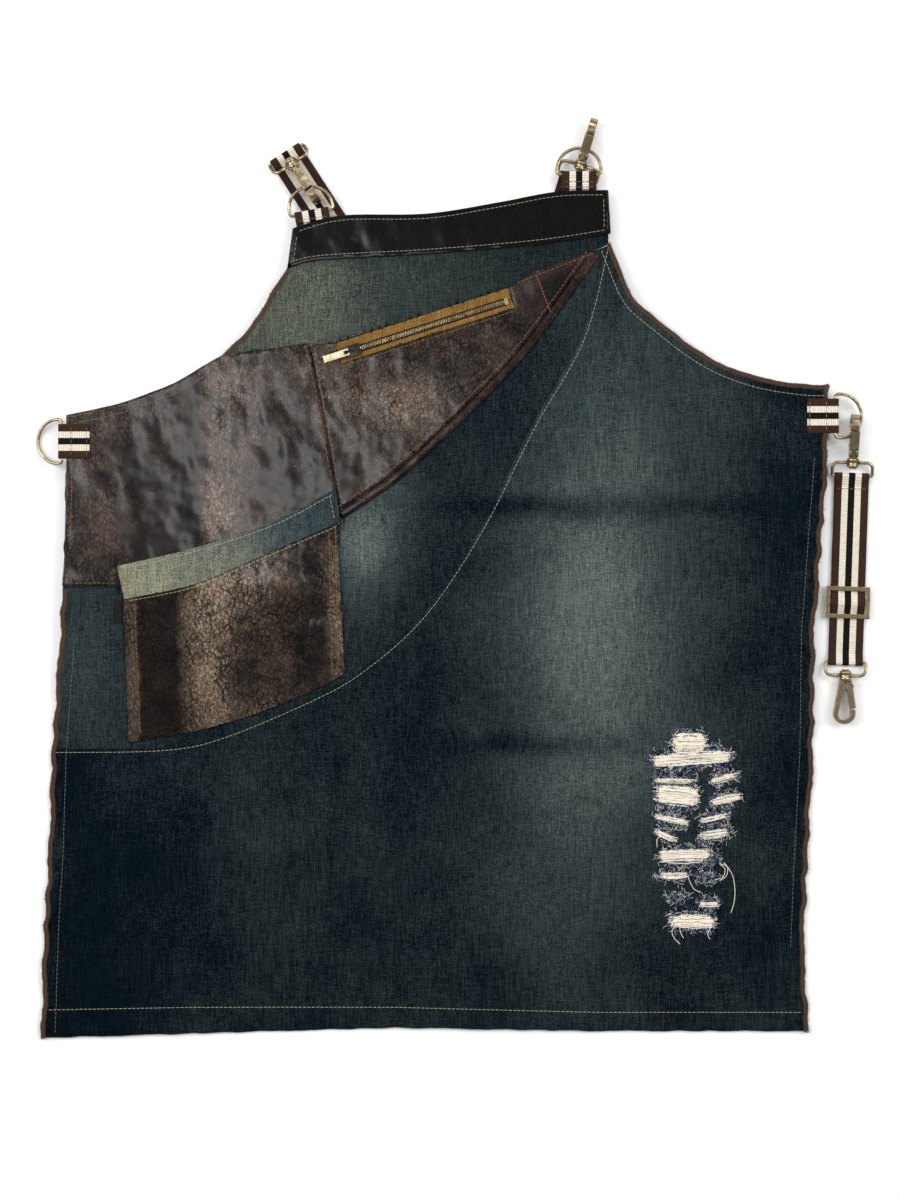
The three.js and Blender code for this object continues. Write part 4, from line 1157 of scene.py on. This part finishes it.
def fuzz_curves(line, count, reach):
    line, run = along(line, 1.0)
    pick = dice.integers(0, len(line), count)
    normal = (beside(line, 1.0) - line)[pick]
    step = np.gradient(line, axis=0)[pick]
    share = np.linspace(0, 1, 5)
    out = -dice.uniform(0.3, reach, count)[:, None, None] * normal[:, None] * (1.6 * share - 0.6)[:, None]
    curl = dice.uniform(-1.6, 1.6, (count, 1, 1)) * step[:, None] * share[:, None] ** 2
    place = line[pick][:, None] + out + curl
    return on_denim(place, dice.uniform(-0.3, 0.5, (count, 1)) * share - 0.3)


left_raw = left_edge[left_edge[:, 1] < at(0, 53.0)[1]]
raw_edges = {"left": left_raw, "right": right_edge, "armhole": right_curve, "bib": bib_edge}
for side, line in raw_edges.items():
    curves = np.concatenate([overlock(line, 0.9), overlock(line, -0.9)])
    made = piece(f"overlock_{side}", *strand_mesh(curves, 0.30, 5), overlock_thread)
HAIRS = 1.1                   # loose hairs on each millimetre of a raw edge
hairs = np.concatenate([fuzz_curves(line, int(len(along(line, 1.0)[0]) * HAIRS), 2.2)
                        for line in raw_edges.values()])
piece("edge_fuzz", *strand_mesh(hairs, [0.09, 0.09, 0.08, 0.07, 0.04], 4), fuzz)

# %% [markdown]
# ## The distressed patch
# Where the indigo warp has been cut away, only the cream weft threads cross the openings. The cut
# warp ends stay as a curly fringe above and below each opening, most of it indigo with some blue and
# white, and a few longer threads have come loose. All of it is thread laid over the slots of the
# skirt.

# %% Cross threads and fringe
WEFT_PITCH = 0.62


def weft(left, right, high, low, climb):
    """The cross threads of one opening, each only a little longer than the opening is at its height."""
    rows = np.arange(low - 0.3, high + 0.3, WEFT_PITCH)
    level = np.abs((rows - (high + low) / 2) / ((high - low) / 2 + 0.6))
    half = (right - left) / 2 * np.clip(1 - level ** 6, 0, 1) ** 0.4
    share = np.linspace(0, 1, 14)
    start = (left + right) / 2 - half - dice.uniform(-1.0, 3.0, len(rows))
    end = (left + right) / 2 + half + dice.uniform(-1.0, 3.0, len(rows))
    x = start[:, None] + (end - start)[:, None] * share
    sag = dice.normal(0, 0.6, (len(rows), 1)) * np.sin(pi * share) + dice.normal(0, 0.16, x.shape)
    y = rows[:, None] + climb * (x - (left + right) / 2) + sag
    place = np.dstack([x, y]) + PATCH_AT
    up = dice.uniform(-0.15, 0.3, (len(rows), 1)) - 0.15 + 0.6 * np.minimum(1, 6 * share * (1 - share))
    return on_denim(place, up)


def curls(x, y, reach):
    """Short curled thread ends that start at the given places."""
    count = len(x)
    turn = dice.uniform(0, 2 * pi, (count, 1)) + dice.uniform(-4.8, 4.8, (count, 1)) * np.linspace(0, 1, 8)
    pace = dice.uniform(0.25, 1.0, count)[:, None] * reach
    walk = np.cumsum(np.dstack([np.cos(turn), np.sin(turn)]) * pace[..., None], 1)
    place = np.stack([x, y], 1)[:, None] + walk + PATCH_AT
    arch = np.sin(pi * np.linspace(0.05, 0.95, 8)) * dice.uniform(0.1, 0.75, (count, 1)) + 0.05
    return on_denim(place, arch)


def fringe(slot, density, spread, reach):
    """Curls in clumps along both long sides of an opening."""
    left, right = slot[:2]
    count = int((right - left + 4) * density * 2)
    x = dice.uniform(left - 2.0, right + 2.0, count)
    x = x[dice.random(count) < 0.62 + 0.38 * np.sin(x / 2.3 + slot[2])]
    top, bottom = slot_edges(slot, x)
    out = spread * dice.random(len(x)) ** 1.2 * (0.75 + 0.35 * np.sin(x / 4.1 + slot[3])) + 0.3
    return curls(x, np.where(dice.random(len(x)) < 0.5, top + out, bottom - out), reach)


def worn_spot(spot, density, reach):
    """Curls all over a place that is rubbed but not open."""
    left, right, high, low, climb = spot
    count = int((right - left) * (high - low) * density * 0.32)
    angle, radius = dice.uniform(0, 2 * pi, count), dice.random(count) ** 0.5
    return curls((left + right) / 2 + (right - left) / 2 * radius * np.cos(angle),
                 (high + low) / 2 + (high - low) / 2 * radius * np.sin(angle), reach)


wefts = np.concatenate([weft(*slot) for slot in SLOTS])
piece("weft_threads", *strand_mesh(wefts, 0.36, 6), cream_yarn)
for name, yarn, density, radius, spread, reach in (("fringe_indigo", indigo_yarn, 6.2, 0.24, 4.6, 0.75),
                                                   ("fringe_blue", blue_yarn, 2.8, 0.15, 4.2, 0.85),
                                                   ("fringe_cream", cream_yarn, 2.2, 0.14, 4.4, 0.95)):
    ends = [fringe(slot, density, spread, reach) for slot in SLOTS]
    ends += [worn_spot(spot, density / 4, reach) for spot in FUZZY]
    made = piece(name, *strand_mesh(np.concatenate(ends), [radius] * 7 + [radius / 2], 4), yarn)
    print(name, sum(len(end) for end in ends), "ends")


def loose(points, up=0.6):
    line = along(smooth(np.array(points, float), 40), 1.2)[0] + PATCH_AT
    return np.c_[line, denim_top(line[:, 0], line[:, 1]) + up]


loose_ends = [
    loose([(21, -24), (28, -34), (30.5, -46), (30, -58), (27, -68)]),
    loose([(-10, -37), (-7, -44), (-4, -48), (1, -50)]),
    loose([(-20, -77), (-24, -84), (-22, -90), (-17, -95)]),
    loose([(-17, -78), (-17, -84), (-14, -90)]),
    loose([(10, -80), (7, -86), (9, -91)]),
    loose([(18, -26), (22, -30), (20, -37), (13, -39)]),
    loose([(17, -25), (24, -28), (23, -36), (17, -40)]),
    loose([(-33, 0), (-37, -4), (-37, -11)])]
loose_mesh = joined(*[tube_mesh(line, 0.27, 8) for line in loose_ends])
piece("loose_threads", *loose_mesh, cream_yarn)

# %% [markdown]
# ## Zip
# A metal zip has a row of teeth on each tape, set half a pitch apart so that they lock, and a dark
# strand of black cotton lies beside each row. One tooth is modelled with a rounded nose and repeated.
# Slider, pull and end stop are castings: the imported solid is remeshed finely and smoothed, which
# rounds every edge the way polishing does.

# %% Zip tapes and teeth
TAPE_TOP = 2.3


def tape_lay(x, y):
    return lay(x, y) + TAPE_TOP + 0.05 * pucker(x, y, 8.0, 4.0)


def zip_strip(low, high):
    return np.array([in_zip(-ZIP_LEAD, low), in_zip(ZIP_LENGTH + ZIP_TAIL, low),
                     in_zip(ZIP_LENGTH + ZIP_TAIL, high), in_zip(-ZIP_LEAD, high)])


for node, low, high in (("zip_tape_upper", 0.15, 10.5), ("zip_tape_lower", -7.5, -0.15)):
    cloth(node.replace("zip_tape", "tan_tape"), tidy_ring(zip_strip(low, high), step=1.5), tape_lay, 0.75,
          2.0, tape_cotton, node, 0.3)
# A dark strand of black cotton beside each row of teeth, along the tape.
DARK_STRAND_OUT = 2.7
dark_strand_runs = []
for side in (DARK_STRAND_OUT, -DARK_STRAND_OUT):
    run = along(np.array([in_zip(-8, side), in_zip(ZIP_LENGTH + 2, side)]), 2.0)[0]
    dark_strand_runs.append(tube_mesh(np.c_[run, tape_lay(run[:, 0], run[:, 1]) + 0.15], 0.55, 10))
piece("zip_dark_strands", *joined(*dark_strand_runs), label_cotton)
sewn("tape_topstitching", [
    (np.array([in_zip(-ZIP_LEAD + 1, 8.4), in_zip(ZIP_LENGTH + 5, 8.4)]), tape_lay, 2.2, 0.7),
    (np.array([in_zip(-ZIP_LEAD + 1, -6.2), in_zip(ZIP_LENGTH + 5, -6.2)]), tape_lay, 2.2, 0.7),
    (np.array([in_zip(ZIP_LENGTH + 5, 8), in_zip(ZIP_LENGTH + 5, -6)]), tape_lay, 2.2, 0.7)],
    gold_thread, 0.24)
TOOTH_PITCH = 2.3
TEETH_LOW = 2.62
tooth_profile = np.array([(0.0, 0.46), (2.0, 0.46), (2.7, 0.34), (3.1, 0.0), (2.7, -0.34), (2.0, -0.46),
                          (0.0, -0.46)])


def tooth(place, side, height=1.7, shrink=0.16):
    """One tooth: its outline drawn at four levels, the outer two drawn in."""
    levels = [(0, 1 - shrink), (0.3, 1), (height - 0.35, 1), (height, 1 - 1.6 * shrink)]
    middle = tooth_profile.mean(0)
    verts = []
    for up, scale in levels:
        for u, v in (tooth_profile - middle) * scale + middle:
            x, y = in_zip(place + v, side * (2.1 - u))
            verts.append((x, y, LIFT + TEETH_LOW + up))
    size = len(tooth_profile)
    faces = [[k * size + i, k * size + (i + 1) % size, (k + 1) * size + (i + 1) % size, (k + 1) * size + i]
             for k in range(3) for i in range(size)]
    faces += [list(range(size))[::-1], [3 * size + i for i in range(size)]]
    if side > 0:
        faces = [face[::-1] for face in faces]
    return np.array(verts), faces


SLIDER_TAIL = 8.0
teeth = []
for i in range(int((ZIP_LENGTH + SLIDER_TAIL) / TOOTH_PITCH)):
    along_zip = -SLIDER_TAIL + i * TOOTH_PITCH + 0.7
    teeth += [tooth(along_zip, 1), tooth(along_zip + TOOTH_PITCH / 2, -1)]
teeth_piece = piece("zip_teeth_rows", *joined(*teeth), zip_brass)
teeth_piece.data.polygons.foreach_set("use_smooth", [False] * len(teeth_piece.data.polygons))
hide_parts("zip_teeth")

# %% Castings


def cast(node, finish, voxel=0.22, rounds=6, faces=9000):
    """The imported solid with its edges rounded: voxel remesh, smoothing, then fewer faces."""
    mesh = frame["nodes"][node].data.copy()
    made = bpy.data.objects.new(f"{node}_cast", mesh)
    bpy.context.scene.collection.objects.link(made)
    remesh = made.modifiers.new("remesh", "REMESH")
    remesh.mode = "VOXEL"
    remesh.voxel_size = voxel * MM
    painted_light_and_smoothing = made.modifiers.new("painted_light_and_smoothing", "SMOOTH")
    painted_light_and_smoothing.factor = 0.5
    painted_light_and_smoothing.iterations = rounds
    bpy.context.view_layer.update()
    count = len(made.evaluated_get(bpy.context.evaluated_depsgraph_get()).data.polygons)
    thin = made.modifiers.new("thin", "DECIMATE")
    thin.ratio = min(1.0, faces / (2 * max(count, 1)))
    bpy.context.view_layer.update()
    final = bpy.data.meshes.new_from_object(made.evaluated_get(bpy.context.evaluated_depsgraph_get()))
    made.modifiers.clear()
    made.data = final
    final.materials.clear()
    final.materials.append(finish.material)
    final.polygons.foreach_set("use_smooth", [True] * len(final.polygons))
    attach(made, BODY_OF[node])
    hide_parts(node)
    print(f"{made.name}: {len(final.polygons)} faces on {BODY_OF[node]}")
    return made


cast("zip_slider", slider_metal, 0.13, 5, 6000)
cast("zip_pull", pull_metal, 0.11, 4, 4000)
cast("zip_end_stop", zip_brass, 0.12, 4, 1200)

# %% [markdown]
# ## Rings and hooks
# A D-ring and a hook's oval ring are bent from round wire, so each is one tube along its centreline,
# placed the way the part's mounts are. The turned hub is a lathe profile. Hook bodies, gates, pins
# and adjusters are zinc castings, made like the slider.

# %% Where each ring and hook stands
WEB_WIDTH, WEB = 30.0, 1.3
WIRE = 2.9
GAP = 0.3
D_STRAIGHT, D_CORNER = 4.0, 3.0
ARM = 35.2 / 2 + WIRE / 2
OVAL_INSIDE, OVAL_DEPTH, OVAL_ROUND, OVAL_SQUARE = 32.0, 12.0, 5.0, 2.4
HUB_BORE = 2.6
BEND = WIRE / 2 + GAP + WEB / 2
ON_GROUND = 5.9


def arc(x, y, radius, start, end, steps):
    turn = np.linspace(start, end, steps + 1)
    return np.stack([x + radius * np.cos(turn), y + radius * np.sin(turn)], 1)


def frame_at(x, y, z, heading=0.0, pitch=0.0):
    return (Matrix.Translation((float(x), float(y), float(z))) @ Matrix.Rotation(radians(heading), 4, "Z")
            @ Matrix.Rotation(radians(pitch), 4, "X"))


def moved(points, matrix):
    points = np.asarray(points, float)
    turn = np.array(matrix)
    return points @ turn[:3, :3].T + turn[:3, 3]


leather_stack = 2.9
bar_heights = {"left_hip": LIFT + leather_stack / 2, "right_hip": LIFT + DENIM_TOP / 2,
               "left_shoulder": LIFT + DENIM_TOP / 2, "right_shoulder": LIFT + DENIM_TOP / 2}
MOUNTS = {"left_hip": (LEFT_HIP, 90, -22), "right_hip": (RIGHT_HIP, -90, -7),
          "left_shoulder": (LEFT_SHOULDER, 10, 4), "right_shoulder": (RIGHT_SHOULDER, 0, -4)}
d_line = np.vstack([
    [(0.0, 0.0), (ARM / 2, 0.0)], arc(ARM - D_CORNER, D_CORNER, D_CORNER, -pi / 2, 0, 6),
    arc(0, D_STRAIGHT, ARM, 0, pi, 44), arc(D_CORNER - ARM, D_CORNER, D_CORNER, pi, 1.5 * pi, 6),
    [(-ARM / 2, 0.0)]])
rings = {}
for side, (place, heading, tilt) in MOUNTS.items():
    rings[side] = frame_at(*place, bar_heights[side], heading, tilt)
    line = np.c_[d_line, np.zeros(len(d_line))]
    made = piece(f"{side}_ring_wire", *tube_mesh(moved(line, rings[side]), WIRE / 2, 18, True), brass,
                 BODY_OF[f"{side}_d_ring"])
    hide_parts(f"{side}_d_ring")
    print("  off the frame by", corner_gap(made, f"{side}_d_ring"), "mm")


def hub_on_ring(side, around, reach, heading, height):
    """The hub that puts a hook's eye on a ring, as the part places it."""
    turn = radians(around)
    crossing = rings[side] @ Vector((ARM * cos(turn), D_STRAIGHT + ARM * sin(turn), 0))
    return np.array([crossing.x + reach * sin(radians(heading)), crossing.y - reach * cos(radians(heading)),
                     height])


def plan(drop):
    """How far an oval ring reaches, seen from above, when its end drops by so much."""
    return sqrt(OVAL_DEPTH**2 - drop**2)


loop_middle = BEND + WEB / 2
low_drop = ON_GROUND - loop_middle
WAIST_HEADING, WAIST_STRAP = -2, 185.0
NECK_LEFT_HEADING, NECK_LEFT_HEIGHT = -147, 9.2
NECK_RIGHT_HEADING = -17
waist_hub = hub_on_ring("right_hip", 41, 26, WAIST_HEADING, ON_GROUND)
waist = frame_at(waist_hub[0], waist_hub[1], 0, WAIST_HEADING)
neck_left_hub = hub_on_ring("left_shoulder", 90, 24, NECK_LEFT_HEADING, NECK_LEFT_HEIGHT)
neck_right_hub = hub_on_ring("right_shoulder", 73, 14.2, NECK_RIGHT_HEADING, ON_GROUND)
HOOKS = {"waist_top": (waist @ frame_at(0, 0, ON_GROUND, 0, 8), 8, low_drop),
         "waist_end": (waist @ frame_at(0, -WAIST_STRAP, ON_GROUND, 180, 0), 0, low_drop),
         "neck_left": (frame_at(*neck_left_hub, NECK_LEFT_HEADING, 8), 8, NECK_LEFT_HEIGHT - loop_middle),
         "neck_right": (frame_at(*neck_right_hub, NECK_RIGHT_HEADING, 9.5), 9.5, low_drop)}

# %% Oval rings, hubs and castings
half = OVAL_INSIDE / 2 + WIRE / 2
right_half = np.vstack([[(3.6, 0.0)], arc(half - OVAL_ROUND, -OVAL_ROUND, OVAL_ROUND, pi / 2, 0, 8),
                        arc(half - OVAL_SQUARE, OVAL_SQUARE - OVAL_DEPTH, OVAL_SQUARE, 0, -pi / 2, 6)])
oval_line = np.vstack([right_half, [(0.0, -OVAL_DEPTH)], right_half[::-1] * (-1, 1)])
HUB_SIDES = 36
hub_half = [(4.6, 0.9), (4.75, 1.3), (5.2, 1.7), (5.2, 3.1), (4.9, 3.7), (4.4, 4), (HUB_BORE, 4)]
hub_profile = [(r, -y) for r, y in hub_half[::-1]] + hub_half


def lathe(profile, sides):
    """A ring turned round the y axis from a closed profile of (radius, y)."""
    turn = np.arange(sides) * 2 * pi / sides
    verts = [(r * cos(t), y, r * sin(t)) for t in turn for r, y in profile]
    size = len(profile)
    faces = []
    for i in range(sides):
        here, ahead = i * size, (i + 1) % sides * size
        faces += [[here + k, here + (k + 1) % size, ahead + (k + 1) % size, ahead + k] for k in range(size)]
    return np.array(verts), faces


for name, (stand, pitch, drop) in HOOKS.items():
    tilt = degrees(asin(drop / OVAL_DEPTH)) - pitch
    wire = tube_mesh(np.c_[oval_line, np.zeros(len(oval_line))], WIRE / 2, 16)
    swung = moved(wire[0], Matrix.Rotation(radians(tilt), 4, "X"))
    verts, faces = joined((swung, wire[1]), lathe(hub_profile, HUB_SIDES))
    made = piece(f"{name}_hub_and_oval", moved(verts, stand), faces, brass, BODY_OF[f"{name}_oval_ring"])
    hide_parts(f"{name}_oval_ring")
    print("  off the frame by", corner_gap(made, f"{name}_oval_ring"), "mm")
    cast(f"{name}_body", brass, 0.24, 7, 9000)
    cast(f"{name}_gate", brass, 0.2, 5, 4000)
    cast(f"{name}_gate_pin", brass, 0.12, 4, 900)
for side in ("waist", "neck"):
    cast(f"{side}_adjuster", brass, 0.22, 5, 9000)

# %% [markdown]
# ## Webbing
# The straps and tabs are one woven tape: five stripes and a rib every 1.55 mm that also scallops
# the edges. It is modelled straight as a ribbon whose section is carried along the strap's side
# view, with the place across and along it kept as an attribute for the stripes.

# %% Webbing maker
ACROSS = WEB_WIDTH / 2 * np.array([-1, -0.985, -0.93, -0.72, -0.4, 0, 0.4, 0.72, 0.93, 0.985, 1])
ROUND = np.array([0.0, 0.62, 1, 1, 1, 1, 1, 1, 1, 0.62, 0.0])


def webbing_mesh(line, matrix, start=0.0):
    """A ribbed ribbon along (y, z) points: verts, faces and the weave coordinate of each vert."""
    line, run = along(line, RIB / 3)
    step = np.gradient(line, axis=0)
    step /= np.linalg.norm(step, axis=1)[:, None]
    normal = np.stack([-step[:, 1], step[:, 0]], 1)
    rib = np.cos(2 * pi * (run + start) / RIB)
    thick = WEB / 2 - 0.07 + 0.07 * rib
    wide = 1 + 0.010 * rib
    up = np.concatenate([ROUND, -ROUND[::-1][1:-1]])
    across = np.concatenate([ACROSS, ACROSS[::-1][1:-1]])
    verts = np.empty((len(line), len(up), 3))
    verts[..., 0] = across[None] * wide[:, None]
    verts[..., 1] = line[:, :1] + normal[:, :1] * up[None] * thick[:, None]
    verts[..., 2] = line[:, 1:] + normal[:, 1:] * up[None] * thick[:, None]
    weave = np.dstack([np.broadcast_to(place, verts.shape[:2])
                       for place in (across, (run + start)[:, None], up)])
    size = len(up)
    first = (np.arange(len(line) - 1) * size)[:, None]
    k = np.arange(size)[None]
    n = (k + 1) % size
    faces = np.stack([first + k, first + size + k, first + size + n, first + n], -1).reshape(-1, 4).tolist()
    faces += [list(range(size)), [(len(line) - 1) * size + i for i in range(size)][::-1]]
    return moved(verts.reshape(-1, 3), matrix), faces, weave.reshape(-1, 3), float(run[-1])


def strap(name, runs, node):
    """One webbing piece from several (line, matrix), listed with the length it is cut to."""
    meshes = [webbing_mesh(line, matrix, 200.0 * i) for i, (line, matrix) in enumerate(runs)]
    verts, faces = joined(*[(m[0], m[1]) for m in meshes])
    made = piece(name, verts, faces, webbing, BODY_OF[node])
    weave = made.data.attributes.new("weave", "FLOAT_VECTOR", "POINT")
    weave.data.foreach_set("vector", np.vstack([m[2] for m in meshes]).ravel())
    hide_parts(node)
    length = sum(m[3] for m in meshes)
    SHEETS.append((made, (WEB_WIDTH * MM, length * MM), WEB_WIDTH * length * MM * MM, []))
    print("  cut length", round(length), "mm")
    return made


# %% Tabs
TAB_REACH, TAB_OVERLAP = 4.5, 12.0


def tab_line(stack, upper, lower):
    leg = stack / 2 + GAP + WEB / 2
    return np.vstack([[(-lower, -leg), (-4, -leg)], arc(0, 0, BEND, -pi / 2, pi / 2, 14),
                      [(-4, leg), (-upper, leg)]])


TABS = {"left_hip": (leather_stack, TAB_REACH + 20, TAB_REACH + TAB_OVERLAP),
        "right_hip": (DENIM_TOP, TAB_REACH + 20, TAB_REACH + TAB_OVERLAP),
        "left_shoulder": (DENIM_TOP, 8.7 - 1.8, 8.7 + TAB_OVERLAP),
        "right_shoulder": (DENIM_TOP, 14.5 - 1.8, 14.5 + TAB_OVERLAP)}
for side, sizes in TABS.items():
    place, heading, _ = MOUNTS[side]
    stand = frame_at(*place, bar_heights[side], heading)
    strap(f"{side}_webbing_tab", [(tab_line(*sizes), stand)], f"{side}_tab")

# %% Waist and neck straps
ADJUSTER_HEIGHT, ADJUSTER_WALL, ADJUSTER_THICK = 27.8, 3.9, 2.0
WAIST_ADJUSTER, NECK_ADJUSTER = 121.5, 120.0
SEWN = 15.0


def layer(n):
    return WEB / 2 + n * (WEB + GAP)


over_bar = layer(1) + WEB + 2 * GAP + ADJUSTER_THICK
frame_gap = ADJUSTER_HEIGHT / 2 - ADJUSTER_WALL


def through_adjuster(y):
    rise, bar = frame_gap - 0.6, (ADJUSTER_WALL - 1) / 2 + 0.4
    return [(y + rise, layer(1)), (y + bar, over_bar), (y - bar, over_bar), (y - rise, layer(1))]


def turn_back(y, start, end):
    return arc(y, loop_middle, BEND, start, end, 14)


top_bar = -plan(low_drop)
end_bar = -WAIST_STRAP + plan(low_drop)
waist_line = np.vstack([
    [(top_bar - SEWN, layer(0))], turn_back(top_bar, -pi / 2, pi / 2), [(top_bar - 8, layer(1)),
    (top_bar - SEWN - 3, layer(1))], through_adjuster(-WAIST_ADJUSTER), [(end_bar + 8, layer(1))],
    turn_back(end_bar, pi / 2, 1.5 * pi), [(-WAIST_ADJUSTER - 1, layer(0))]])
strap("waist_webbing_strap", [(waist_line, waist)], "waist_strap")

neck_left = frame_at(neck_left_hub[0], neck_left_hub[1], 0, NECK_LEFT_HEADING)
neck_right = frame_at(neck_right_hub[0], neck_right_hub[1], 0, NECK_RIGHT_HEADING)
left_way = np.array([-sin(radians(NECK_LEFT_HEADING)), cos(radians(NECK_LEFT_HEADING))])
right_way = -np.array([-sin(radians(NECK_RIGHT_HEADING)), cos(radians(NECK_RIGHT_HEADING))])
between = (neck_right_hub - neck_left_hub)[:2]


def cross(a, b):
    return a[0] * b[1] - a[1] * b[0]


left_leg = cross(between, right_way) / cross(left_way, right_way)
right_leg = cross(between, left_way) / cross(left_way, right_way)
neck_bar = -plan(NECK_LEFT_HEIGHT - loop_middle)
down_adjuster = [(2 * NECK_ADJUSTER - y, z) for y, z in through_adjuster(NECK_ADJUSTER)]
left_line = np.vstack([
    [(NECK_ADJUSTER + 1, layer(0))], turn_back(neck_bar, pi / 2, 1.5 * pi)[::-1], [(neck_bar + 8, layer(1))],
    down_adjuster, [(NECK_ADJUSTER + 40, layer(0)), (left_leg + WEB_WIDTH / 2, layer(0))]])
right_line = np.vstack([
    [(-plan(low_drop) - SEWN, layer(0))], turn_back(-plan(low_drop), -pi / 2, pi / 2),
    [(-plan(low_drop) - 8, layer(1)), (-plan(low_drop) - SEWN - 3, layer(1)),
     (-right_leg - WEB_WIDTH / 2, layer(1))]])
strap("neck_webbing_strap", [(left_line, neck_left), (right_line, neck_right)], "neck_strap")

# %% Stitching on tabs and straps
ROW_HALF = 12.5               # half the length of a row across the webbing


def rows_across(stand, places, height):
    """Rows sewn across a webbing, each given by its place along it."""
    rows = []
    for place in places:
        line = moved([(-ROW_HALF, place, height), (ROW_HALF, place, height)], stand)
        rows.append((line[:, :2], lambda x, y, z=line[0, 2]: np.full(np.shape(x), z), 2.6, 0.7))
    return rows


def tab_rows(side, places):
    """Rows sewn across a tab, each given by how far it lies from the bar."""
    stand = frame_at(*MOUNTS[side][0], bar_heights[side], MOUNTS[side][1])
    return rows_across(stand, [-place for place in places], TABS[side][0] / 2 + GAP + WEB)


sewn("tab_stitching", tab_rows("left_hip", (8.5, 22.0)) + tab_rows("left_shoulder", (5.0,))
     + tab_rows("right_shoulder", (6.5, 11.0)), gold_thread, 0.27)
sewn("tab_bar_tacks", tab_rows("right_hip", (8.0, 22.5)), orange_thread, 0.30)


FOLD_FACE = layer(1) + WEB / 2
FOLD_ROW = top_bar - SEWN + 4
sewn("waist_strap_stitching", rows_across(waist, [FOLD_ROW], FOLD_FACE), gold_thread, 0.27,
     BODY_OF["waist_strap"])
sewn("neck_strap_stitching", rows_across(neck_right, [FOLD_ROW], FOLD_FACE), gold_thread, 0.27)

# %% [markdown]
# ## Flat sizes
# Every sheet prints the size it was cut to and its area.

# %% Sheets
for made, size, area, rests in SHEETS:
    print(made.name, "flat", [round(s, 3) for s in size], "area", round(area, 4))
